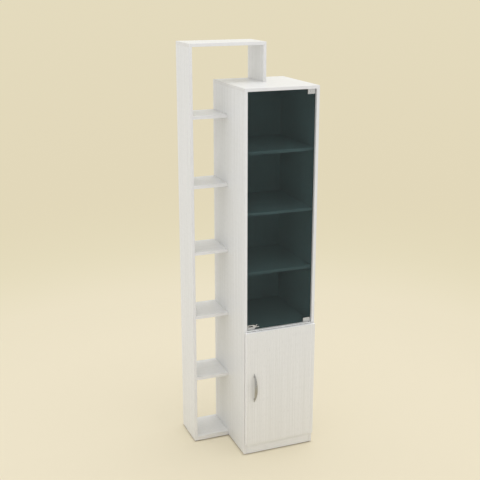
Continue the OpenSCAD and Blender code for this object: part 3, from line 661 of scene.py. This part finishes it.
def board(node, along, number, cutters=()):
    """A board in place of its node, with its grain along one axis, cut and then given its finish."""
    low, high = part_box(node)
    if node == "front_plinth":
        low, high = low + HAIRLINE, high - HAIRLINE
    across = int(np.argmin(np.array(high) - np.array(low)))
    corners = rectangle(low, high, across)
    points, faces, banded = plate(corners, low[across], high[across], across, band=BAND_T)
    # The middle panel's edges take the band painted brighter, with the painted shade line over the lower
    # door.
    edge = CRACK_BAND if node == "middle_panel" else BAND
    made = piece("board_" + node, [(points, faces)], [DECOR, edge, RAW_AND_SHADE], banded)
    cut(made, cutters)
    # Undersides near the floor take the raw chipboard colour, partly as painted shade.
    if low.z < NEAR_FLOOR:
        raw_and_shaded_below(made.data, low.z + UNDERSIDE)
    lay_grain(made.data, along, number)
    return finish(made, node)


print("boards to make:", sum(len(names) for names in GRAIN_ALONG.values()))

# %% [markdown]
# ## All boards and the back
#
# The back panel is a thin sheet of hardboard that lies in a rebate of both sides and the top. The
# rebate is cut as the room that the back panel takes, run out past the boards' rear edges.

# %% Make the boards
BACK_NUMBER, BACK_RIM = 40, 0.3 * MM
REBATED = ("cabinet_left_side", "cabinet_right_side", "cabinet_top")


def rebate_of(node):
    """The room that the back panel takes in a board, as a box that runs out past the board's rear edge."""
    low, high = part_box("back_panel")
    high = Vector((high.x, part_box(node)[1].y + MM, high.z))
    return [sharp_plate(rectangle(low, high, Z), low[Z], high[Z], Z)]


number = 0
for along, names in GRAIN_ALONG.items():
    for node in names:
        number += 1
        board(node, along, number, rebate_of(node) if node in REBATED else ())
low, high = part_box("back_panel")
sheet = plate(rectangle(low, high, Y), low.y, high.y, Y, rim=BACK_RIM)[:2]
back = piece("board_back_panel", [sheet], [BACKING])
lay_grain(back.data, Z, BACK_NUMBER)
finish(back, "back_panel")
print("boards and back made:", number + 1)

# %% [markdown]
# ## The lower door
#
# The door is a board too, but it opens, so its hinge cups must sit in true bores, and its rear edge by
# the hinges has a small chamfer that lets it turn past the cabinet's side. An exact Boolean takes both.
# The band at its top and bottom is glossier than the one up its sides, and painted brighter: painted
# light for more light on these edges than the lamps give.

# %% Lower door
DOOR_NUMBER, DOOR_RIM = 30, 0.35 * MM
CHAMFER, HAIR = 2 * MM, 1e-6
CUP_R, CUP_SEGMENTS, BORE_PAST = 17.5 * MM, 96, 5 * MM
SIDE_FACING = 0.6

low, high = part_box("lower_door")
points, faces, banded = plate(rectangle(low, high, Y), low.y, high.y, Y, rim=DOOR_RIM, band=BAND_T)
# The door's top and bottom bands take the band painted brighter: painted light.
door = piece("board_lower_door", [(points, faces)], [DOOR_DECOR, PAINTED_LIGHT_BAND, RAW_AND_SHADE, DOOR_BAND], banded)
cutters = []
for cup_low, cup_high in loose_boxes("hinge_cups"):
    bore, bore_faces = turned([(CUP_R, 0), (CUP_R, high.y - cup_low[Y] + BORE_PAST)], CUP_SEGMENTS)
    seat = np.array([cup_high[X] - CUP_R, cup_low[Y], (cup_low[Z] + cup_high[Z]) / 2])
    cutters.append((aim(bore, (Y, 1)) + seat, bore_faces))
wedge = [(high.x - CHAMFER, high.y + HAIR), (high.x + HAIR, high.y - CHAMFER),
         (high.x + CHAMFER, high.y + CHAMFER)]
cutters.append(sharp_plate(wedge, low.z - MM, high.z + MM, Z))
cut(door, cutters)
sideways = abs(numbers_of(door.data.polygons, "normal", np.float32, 3)[:, X]) > SIDE_FACING
which = numbers_of(door.data.polygons, "material_index", np.int32)
which[sideways & (which == BAND_SLOT)] = SIDE_BAND_SLOT
door.data.polygons.foreach_set("material_index", which)
lay_grain(door.data, Z, DOOR_NUMBER)
finish(door, "lower_door")
print("lower door: cuts", len(cutters), "faces", len(door.data.polygons))

# %% [markdown]
# ## Tinted glass
#
# The pane is one plate with ground edges. Light that reaches the shelves passes the glass twice, so the
# tint is squared on the way back. A Principled shader bends the view and mirrors the room, but it
# would keep lamps from shining through. So shadow rays and diffuse rays see a plain tinted Transparent
# shader instead: each of the pane's two faces takes the root of the tint.

# %% Glass
GLASS_TINT, GLASS_IOR = (0.22, 0.293, 0.296, 1.0), 1.25
FROST_GRAINS, FROST_ROUGH, FROST_BRIGHT = 700.0, (0.35, 0.6), 1.5
PANE_CORNER, PANE_RIM = 1.2 * MM, 0.6 * MM


def glass(name, tint, ior):
    """Glass that the eye and mirrors see as real, and that shadows and soft light pass as a tint."""
    material, tree, shader = new_material(name)
    shader.inputs["Base Color"].default_value = tint
    shader.inputs["Transmission Weight"].default_value = 1.0
    shader.inputs["Roughness"].default_value = 0.0
    shader.inputs["IOR"].default_value = ior
    clear = add(tree, "BsdfTransparent", {"Color": tuple(np.sqrt(tint[:3])) + (1.0,)})
    path = add(tree, "LightPath")
    through = maths(tree, "MAXIMUM", path.outputs["Is Shadow Ray"], path.outputs["Is Diffuse Ray"])
    mix = add(tree, "MixShader", {0: through, 1: shader.outputs[0], 2: clear.outputs[0]})
    tree.links.new(mix.outputs[0], tree.nodes["Material Output"].inputs["Surface"])
    return material


def ground_edge(name, colour):
    """The pane's edge: tinted glass is so deep along the pane that its frosted edge looks nearly black."""
    material, tree, shader = new_material(name)
    frost = noise(tree, object_place(tree), FROST_GRAINS, detail=3.0)
    feed(tree, shader,
         Base_Color=blended(tree, frost, colour, scaled(colour, FROST_BRIGHT)),
         Roughness=ranged(tree, frost, 0.0, 1.0, *FROST_ROUGH))
    return material


GROUND = ground_edge("ground glass edge", linear(28, 38, 38))
SMOKED = glass("smoked glass", GLASS_TINT, GLASS_IOR)
low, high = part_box("glass_pane")
points, faces, _ = plate(rectangle(low, high, Y), low.y, high.y, Y, corner=PANE_CORNER, rim=PANE_RIM)
ground = [True] * (len(faces) - 2) + [False, False]
finish(piece("pane_of_glass", [(points, faces)], [SMOKED, GROUND], ground), "glass_pane")
print("pane in mm:", [round(side / MM, 1) for side in high - low])

# %% [markdown]
# ## Brushed lines
#
# Satin metal has hair-fine brushed lines that blur its mirror in one direction. They could be drawn as
# an anisotropic gloss, but that leaves no lines to see close up. Here they are noise on Object
# coordinates, stretched along one axis, with a soft cloud beside it for the smudges of use.

# %% Brushed group
CLOUDS_PER_METRE = 60.0


def brushed_group():
    """Two noises: fine lines, stretched by the Lines vector, and a soft cloud for smudges."""
    tree = bpy.data.node_groups.new("brushed lines", "ShaderNodeTree")
    sockets = tree.interface
    lines = sockets.new_socket("Lines", in_out="INPUT", socket_type="NodeSocketVector")
    lines.default_value = (1, 1, 1)
    for name in ("Line", "Smudge"):
        sockets.new_socket(name, in_out="OUTPUT", socket_type="NodeSocketFloat")
    inside, outside = tree.nodes.new("NodeGroupInput"), tree.nodes.new("NodeGroupOutput")
    spot = object_place(tree)
    drawn = vectors(tree, "MULTIPLY", spot, inside.outputs["Lines"])
    tree.links.new(noise(tree, drawn, scale=1.0, detail=4.0), outside.inputs["Line"])
    tree.links.new(noise(tree, spot, CLOUDS_PER_METRE, detail=2.0), outside.inputs["Smudge"])
    return tree


BRUSHED = brushed_group()


def brushed(tree, lines):
    """The group placed in a material, with its own count of lines per metre along each axis."""
    group = tree.nodes.new("ShaderNodeGroup")
    group.node_tree = BRUSHED
    group.inputs["Lines"].default_value = lines
    return group.outputs["Line"], group.outputs["Smudge"]


print("nodes in the brushed group:", len(BRUSHED.nodes))

# %% [markdown]
# ## Metal
#
# The bow handle is satin nickel, the glass clamps and the clip handle are matt chrome, and the screws
# and hinges are plated with nickel. Metal is told by its colour and its mirror, so the brushed lines
# move its roughness, and a smudge darkens it a little. A plain roughness would look like grey paint.

# %% Metal finishes
SMUDGE_TONE = 0.93
LINE_SEEN, LINE_RELIEF = (0.3, 0.7), 0.25


def metal(name, colour, smooth, rough, lines, depth):
    """Brushed metal: the lines swing its roughness between two values and lift it a little."""
    material, tree, shader = new_material(name)
    line, smudge = brushed(tree, lines)
    shader.inputs["Metallic"].default_value = 1.0
    feed(tree, shader,
         Base_Color=blended(tree, smudge, colour, scaled(colour, SMUDGE_TONE)),
         Roughness=ranged(tree, line, *LINE_SEEN, smooth, rough),
         Normal=relief(tree, line, LINE_RELIEF, depth))
    return material


SATIN = metal("satin nickel", linear(176, 175, 172),
              smooth=0.24, rough=0.42, lines=(900, 900, 30), depth=0.02 * MM)
CHROME = metal("matt chrome", linear(205, 205, 203),
               smooth=0.16, rough=0.32, lines=(900, 900, 40), depth=0.02 * MM)
ZINC = metal("nickel plate", linear(206, 206, 202),
             smooth=0.28, rough=0.46, lines=(300, 300, 300), depth=0.03 * MM)
print("metals:", [m.name for m in (SATIN, CHROME, ZINC)])

# %% [markdown]
# ## Plastic
#
# Glides and pads are grey plastic, caps, covers and the catch are white, and the bumpers are clear.
# Moulded plastic takes the fine grain of its mould, so one small noise moves its colour, roughness and
# relief together. The clear one also lets some light through.

# %% Plastic finishes
GRAIN_TONE = 0.9
MOULD_GRAINS, MOULD_ROUGH, MOULD_RELIEF = 900.0, 0.06, 0.2
SHALLOW = 0.05 * MM


def plastic(name, colour, roughness, clear=0.0):
    """Moulded plastic: one fine grain moves colour, roughness and relief; clear lets light through."""
    material, tree, shader = new_material(name)
    grain = noise(tree, object_place(tree), MOULD_GRAINS, detail=2.0)
    feed(tree, shader,
         Base_Color=blended(tree, grain, colour, scaled(colour, GRAIN_TONE)),
         Roughness=ranged(tree, grain, 0.0, 1.0, roughness - MOULD_ROUGH, roughness + MOULD_ROUGH),
         Normal=relief(tree, grain, MOULD_RELIEF, SHALLOW))
    shader.inputs["Transmission Weight"].default_value = clear
    return material


GREY = plastic("grey plastic", linear(70, 70, 70), roughness=0.5)
WHITE = plastic("white plastic", linear(240, 240, 238), roughness=0.38)
RUBBER = plastic("clear bumper", linear(215, 215, 210), roughness=0.3, clear=0.4)
print("plastics:", [m.name for m in (GREY, WHITE, RUBBER)])

# %% [markdown]
# ## Raw wood
#
# The dowels are turned from beech, whose short flecks lie along the grain. The brushed lines stretched
# along the dowel draw them, so the group serves a second time, with its colours further apart.

# %% Wood finish
FLECK_SEEN, FLECK_ROUGH, FLECK_RELIEF = (0.35, 0.65), 0.08, 0.3


def raw_wood(name, light, dark, roughness, lines):
    """Turned wood: its short flecks lie along the dowel, so the same stretched noise moves the colour."""
    material, tree, shader = new_material(name)
    line, smudge = brushed(tree, lines)
    feed(tree, shader,
         Base_Color=blended(tree, ranged(tree, line, *FLECK_SEEN), light, dark),
         Roughness=ranged(tree, smudge, 0.0, 1.0, roughness - FLECK_ROUGH, roughness + FLECK_ROUGH),
         Normal=relief(tree, line, FLECK_RELIEF, SHALLOW))
    return material


BEECH = raw_wood("raw beech", linear(196, 160, 116), linear(172, 136, 94),
                 roughness=0.6, lines=(60, 700, 700))
print("wood:", BEECH.name)

# %% [markdown]
# ## The bow handle
#
# The handle is a crescent: it stands furthest out at its middle, where it is also widest, and runs to
# a point at each end. It could be modelled by hand from a box, but a formula keeps it symmetric. A
# section is carried along its height: at each height the front lies on one circle and the inner side
# on a flatter one, and both width and thickness come from these circles.

# %% Handle's shape
SECTIONS, AROUND = 97, 40
SQUARENESS, TIP_SHARE = 0.75, 0.998


def arch(s, half, rise):
    """Height over the chord of a circle that passes both ends of the chord and rises in the middle.

    The radius is half the chord squared plus the rise squared, over twice the rise.
    """
    radius = (half * half + rise * rise) / (2 * rise)
    return np.sqrt(np.maximum(radius * radius - s * s, 0)) - (radius - rise)


def squared(wave):
    """A sine or cosine pushed towards one and minus one, which squares a round section a little."""
    return np.sign(wave) * abs(wave) ** SQUARENESS


def bow_shape(middle, half, out, width, thick, foot):
    """A section carried along its height, as (points, faces).

    The section at height s is a superellipse with half width w and half thickness d: x is w times the
    squared cosine, and y is the middle depth plus d times the squared sine. Heights are spaced by a
    sine, so that the sections crowd where the ends turn sharp.
    """
    s = half * np.sin(np.linspace(-np.pi / 2, np.pi / 2, SECTIONS)) * TIP_SHARE
    span = half - foot
    front = arch(s, half, out)
    inner = np.where(abs(s) < span, arch(np.clip(s, -span, span), span, out - thick), 0)
    w = arch(s, half + foot, width / 2)
    t = np.arange(AROUND) * 2 * np.pi / AROUND
    mid, deep = (front + inner) / 2, (front - inner) / 2
    x = middle[X] + w[:, None] * squared(np.cos(t))
    y = middle[Y] - (mid[:, None] + deep[:, None] * squared(np.sin(t)))
    z = np.broadcast_to(middle[Z] + s[:, None], x.shape)
    faces = grid_quads(SECTIONS, AROUND).tolist() + end_faces(SECTIONS, AROUND)
    return np.stack([x, y, z], -1).reshape(-1, 3), [face[::-1] for face in faces]


trial = arch(40 * MM, 80 * MM, 30 * MM)
print("a bow that stands 30 mm out at its middle stands", round(float(trial) / MM, 1), "mm out halfway up")

# %% [markdown]
# ## The handle in its place
#
# The crescent doesn't touch the door: two short round posts carry it, and a screw runs into each from
# behind the door. So the frame's screws tell where the posts stand.

# %% Handle
BOW_THICK, BOW_FOOT = 4.5 * MM, 6 * MM
POST_R, NECK_R, POST_SEGMENTS = 4.5 * MM, 3.9 * MM, 40
SHOULDER, NECK, POST_END = 6.5 * MM, 7.5 * MM, 8.5 * MM

low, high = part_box("door_handle")
centre = (low + high) / 2
screws = loose_boxes("handle_screws").mean(1)
post = turned([(POST_R, 0), (POST_R, SHOULDER), (NECK_R, NECK), (NECK_R, POST_END)], POST_SEGMENTS)
posts = copies((aim(post[0], (Y, -1)), post[1]), [(centre.x, high.y, z) for z in screws[:, Z]])
size = high - low
bow = bow_shape((centre.x, high.y, centre.z), size.z / 2, size.y, size.x, BOW_THICK, BOW_FOOT)
finish(piece("bow_handle", [bow, posts], [SATIN]), "door_handle")
print("handle in mm:", [round(side / MM, 1) for side in size])

# %% [markdown]
# ## Small round parts
#
# Screw caps, cam covers and the door's bumpers are thin domes. The frame knows where each one is, so
# the domes are turned once and copied to those places. A flat disc would do at a distance, but a dome
# catches a small highlight that tells the eye it is there.

# %% Domes
LIP = 0.25
DOME_STEPS, DOME_SEGMENTS = 8, 32


def dome(radius, rise):
    """A cap's profile: a short upright lip, then a low arc up to the middle.

    With angle a from 0 towards a right angle, the arc's radius is the cap's radius times the cosine,
    and its height is the lip plus the rest of the rise times the sine.
    """
    a = np.linspace(0, np.pi / 2, DOME_STEPS)[1:-1]
    arc = [(radius * np.cos(k), rise * (LIP + (1 - LIP) * np.sin(k))) for k in a]
    return turned([(radius, 0), (radius, LIP * rise)] + arc, DOME_SEGMENTS)


def domes(name, node, facing, material):
    """Domes in place of a node's discs. facing says for each disc which way its outer side looks."""
    boxes = loose_boxes(node)
    size = boxes[:, 1] - boxes[:, 0]
    shapes = []
    for middle, axis, thick, wide in zip(boxes.mean(1), size.argmin(1), size.min(1), size.max(1)):
        sign = facing(middle, axis)
        points, faces = dome(wide / 2, thick)
        seat = middle.copy()
        seat[axis] -= sign * thick / 2
        shapes.append((aim(points, (int(axis), sign)) + seat, faces))
    print(name, len(shapes))
    return finish(piece(name, shapes, [material]), node)


inside_x = (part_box("cabinet_left_side")[1].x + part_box("cabinet_right_side")[0].x) / 2
domes("caps_over_screws", "screw_caps", lambda m, axis: 1 if axis == X else -1, WHITE)
domes("covers_over_cams", "cam_covers",
      lambda m, axis: -1 if axis == Z else int(np.sign(inside_x - m[X])), WHITE)
domes("bumpers_of_door", "door_bumpers", lambda m, axis: 1, RUBBER)

# %% [markdown]
# ## Fittings that keep their own mesh
#
# The hinges, the clip handle, the catch and the screws already have their true shape. Their mesh is
# loose triangles, so a Weld modifier joins them and a Bevel breaks the sharp edges, with its normals
# hardened so that the flats stay flat. The mesh itself isn't touched.

# %% Fittings
KEPT = {
    CHROME: ["glass_hinge_bottom", "glass_hinge_top", "clip_handle"],
    ZINC: ["shelf_pins", "cam_locks", "cam_bolts", "joint_screws", "back_nails", "clamp_screws",
           "catch_screws", "handle_screws", "hinge_cups", "hinge_cup_screws", "hinge_pins", "hinge_arms",
           "hinge_arm_screws", "hinge_plates", "hinge_plate_screws"],
    GREY: ["glides", "glass_hinge_pads", "pivot_bushes", "clip_pads"],
    WHITE: ["magnetic_catch"],
    BEECH: ["dowels"],
}
BROKEN_EDGE = {"glass_hinge_bottom": 0.45 * MM, "glass_hinge_top": 0.45 * MM, "clip_handle": 0.4 * MM,
               "magnetic_catch": 0.5 * MM, "hinge_arms": 0.3 * MM, "hinge_plates": 0.3 * MM,
               "hinge_cups": 0.25 * MM}
EDGE_STEPS = 2
for material, names in KEPT.items():
    for node in names:
        kept = nodes[node]
        if not kept.material_slots:
            kept.data.materials.append(material)
        for slot in kept.material_slots:
            slot.material = material
        if node in BROKEN_EDGE:
            kept.modifiers.new("join", "WELD").merge_threshold = SAME_POINT
            soft = kept.modifiers.new("break edges", "BEVEL")
            soft.width, soft.segments, soft.angle_limit = BROKEN_EDGE[node], EDGE_STEPS, CREASE
            soft.limit_method, soft.harden_normals = "ANGLE", True
print("fittings:", sum(len(names) for names in KEPT.values()), "with broken edges:", len(BROKEN_EDGE))

# %% [markdown]
# ## The studio's sweep
#
# A round sweep stands about the cabinet: a floor that bends up into a wall. It is one profile turned
# about the upright axis. A flat backdrop would be simpler, but a round one looks the same from every
# side, so the camera may stand anywhere.

# %% Sweep
HOLE_R, FLOOR_R, BEND_R, WALL_TOP = 0.02, 2.1, 1.4, 5.0
FLOOR_RINGS, BEND_RINGS, WALL_RINGS, SWEEP_SEGMENTS = 20, 25, 8, 96

a = np.linspace(0, np.pi / 2, BEND_RINGS)[1:]
profile = [(r, 0.0) for r in np.linspace(HOLE_R, FLOOR_R, FLOOR_RINGS)]
profile += [(FLOOR_R + BEND_R * np.sin(k), BEND_R * (1 - np.cos(k))) for k in a]
profile += [(FLOOR_R + BEND_R, z) for z in np.linspace(BEND_R, WALL_TOP, WALL_RINGS)[1:]]
points, faces = turned(profile, SWEEP_SEGMENTS)
sweep = bpy.data.objects.new("studio_sweep", bpy.data.meshes.new("studio_sweep"))
sweep.data.from_pydata(points.tolist(), [], [face[::-1] for face in faces[:-1]])
sweep.data.shade_smooth()
bpy.context.scene.collection.objects.link(sweep)
print("the sweep's wall stands", FLOOR_R + BEND_R, "metres from the middle")

# %% [markdown]
# ## The sweep's colour
#
# The wall only shows its colour: lamps and diffuse rays pass it, so that it takes no light away. The
# colour follows the way along the sweep, which is the distance from the middle plus the height, and
# gets a little deeper towards the top. Rays that mirrors send out meet a pale soft box on one side,
# as in a studio, which gives the metal and the glass something to reflect.

# %% Wall
CREAM = (237, 227, 201)
WAY_END = 6.0
WALL_STOPS = [(0.0, CREAM), (WAY_END, (229, 220, 191)), (2.4, CREAM), (3.1, (229, 220, 189)),
              (4.0, (225, 214, 184))]
SOFT_BOX, SOFT_BOX_SIDE, SOFT_BOX_EDGE = (238, 237, 234), (-0.37, -0.93, 0), (-0.1, 0.5)
SMOOTH = {"interpolation_type": "SMOOTHSTEP"}

cream, tree, shader = new_material("cream sweep")
tree.nodes.remove(shader)
spot = object_place(tree)
flat = vectors(tree, "MULTIPLY", spot, (1, 1, 0))
height = add(tree, "SeparateXYZ", {0: spot}).outputs["Z"]
way = maths(tree, "ADD", vectors(tree, "LENGTH", flat, output="Value"), height)


def ramp(value, end, stops):
    """A colour ramp over a length that starts at nothing: the stops are (metres, screen colour)."""
    node = add(tree, "ValToRGB", {0: ranged(tree, value, 0.0, end)})
    node.color_ramp.interpolation = "B_SPLINE"
    elements = node.color_ramp.elements
    for k, (metres, colour) in enumerate(stops):
        stop = elements[k] if k < len(elements) else elements.new(metres / end)
        stop.position = metres / end
        stop.color = linear(*colour)
    return node.outputs[0]


toward = vectors(tree, "DOT_PRODUCT", vectors(tree, "NORMALIZE", flat), SOFT_BOX_SIDE, output="Value")
path = add(tree, "LightPath").outputs
boxed = maths(tree, "MULTIPLY", ranged(tree, toward, *SOFT_BOX_EDGE, **SMOOTH), path["Is Glossy Ray"])
wall_colour = blended(tree, boxed, ramp(way, WAY_END, WALL_STOPS), linear(*SOFT_BOX))
shown = add(tree, "Emission", {"Color": wall_colour, "Strength": 1.0})
clear = add(tree, "BsdfTransparent")
seen = maths(tree, "MAXIMUM", path["Is Camera Ray"], path["Is Glossy Ray"])
seen = maths(tree, "MAXIMUM", seen, path["Is Transmission Ray"])
wall = add(tree, "MixShader", {0: seen, 1: clear.outputs[0], 2: shown.outputs[0]})
print("colours along the wall:", len(WALL_STOPS))

# %% [markdown]
# ## The floor and its shadow
#
# The floor is a plain diffuse surface that keeps the cabinet's soft shadow. A real studio has more
# light near the floor than this tent of sky gives, so the shadow is lifted a little: outside the
# boards' footprint the floor shows a share of its own colour, and under the boards it stays dark.

# %% Floor
FLOOR_LEVEL, FLOOR_TO_WALL = 0.85, (1.2, 2.2)
SHADOW_LIFT, LIFT_WIDTH = 0.38, 15 * MM


def outside(node_names):
    """How far a floor point lies outside the footprint of some boards.

    The footprint is one box about the boards. Along each axis the overhang is the distance from the
    box's middle less half its width, and the larger of the two overhangs counts.
    """
    boxes = np.array([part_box(name) for name in node_names])
    low, high = boxes[:, 0].min(0), boxes[:, 1].max(0)
    off = vectors(tree, "ABSOLUTE", vectors(tree, "SUBTRACT", spot, (low + high) / 2))
    parts = add(tree, "SeparateXYZ", {0: vectors(tree, "SUBTRACT", off, (high - low) / 2)})
    return maths(tree, "MAXIMUM", parts.outputs["X"], parts.outputs["Y"])


clear_of = maths(tree, "MINIMUM", outside(["cabinet_left_side", "cabinet_right_side"]),
                 outside(["side_upright", "side_base_board"]))
lift = maths(tree, "MULTIPLY", ranged(tree, clear_of, 0.0, LIFT_WIDTH, 0.0, SHADOW_LIFT), seen)
matt = add(tree, "BsdfDiffuse", {"Color": scaled(linear(*CREAM), FLOOR_LEVEL)})
glow = add(tree, "Emission", {"Color": linear(*CREAM), "Strength": 1.0})
floor = add(tree, "MixShader", {0: lift, 1: matt.outputs[0], 2: glow.outputs[0]})
print("share of the shadow that is lifted:", SHADOW_LIFT)

# %% [markdown]
# ## Floor, wall and back of the sweep
#
# Floor and wall pass into each other where the sweep begins to bend, with no line between them. Seen
# from its back the sweep isn't there at all, so it never hides the cabinet.

# %% Join floor and wall
far = ranged(tree, way, *FLOOR_TO_WALL, **SMOOTH)
both = add(tree, "MixShader", {0: far, 1: floor.outputs[0], 2: wall.outputs[0]})
back_side = add(tree, "NewGeometry").outputs["Backfacing"]
open_side = add(tree, "MixShader", {0: back_side, 1: both.outputs[0], 2: clear.outputs[0]})
tree.links.new(open_side.outputs[0], tree.nodes["Material Output"].inputs["Surface"])
sweep.data.materials.append(cream)
print("nodes in the sweep's material:", len(tree.nodes))

# %% [markdown]
# ## Light
#
# An even white sky gives most of the light, as in a tent. One very wide lamp from above right makes
# the tops a little brighter and gives the handle its soft shadow. Several area lamps could do the
# same, but each would show as a shape in the glass.

# %% Light
SKY_STRENGTH = 0.94
LAMP_STRENGTH, LAMP_WIDTH, LAMP_TILT = 0.85, 60, (11, 0, 80)

world = bpy.data.worlds.new("tent")
world.use_nodes = True
sky = world.node_tree.nodes["Background"].inputs
sky["Color"].default_value = (1.0, 1.0, 1.0, 1.0)
sky["Strength"].default_value = SKY_STRENGTH
bpy.context.scene.world = world
lamp_data = bpy.data.lights.new("wide lamp", "SUN")
lamp_data.energy, lamp_data.angle = LAMP_STRENGTH, np.radians(LAMP_WIDTH)
lamp = bpy.data.objects.new("wide lamp", lamp_data)
lamp.rotation_euler = np.radians(LAMP_TILT)
bpy.context.scene.collection.objects.link(lamp)
bpy.context.scene.view_settings.view_transform = "Standard"
print("sky:", SKY_STRENGTH, "lamp:", LAMP_STRENGTH)

# %% [markdown]
# ## Camera
#
# The camera stands to the left of the cabinet, a little higher than its top, and looks down at it, so
# that the front, the left side and the tops show at once. A longer lens from further off than a room
# would allow keeps the upright boards nearly parallel.

# %% Camera
LENS = 66.6
EYE, LOOK = (-1.6812, -4.1578, 2.4842), (73.38, 0, -21.47)

camera_data = bpy.data.cameras.new("camera")
camera_data.lens = LENS
camera = bpy.data.objects.new("camera", camera_data)
camera.location = EYE
camera.rotation_euler = np.radians(LOOK)
bpy.context.scene.collection.objects.link(camera)
bpy.context.scene.camera = camera
print("camera's distance in metres:", round(float(np.linalg.norm(EYE)), 2))

# %% [markdown]
# ## The last update
#
# At the end the scene's view layer is brought up to date.

# %% The last update
bpy.context.view_layer.update()
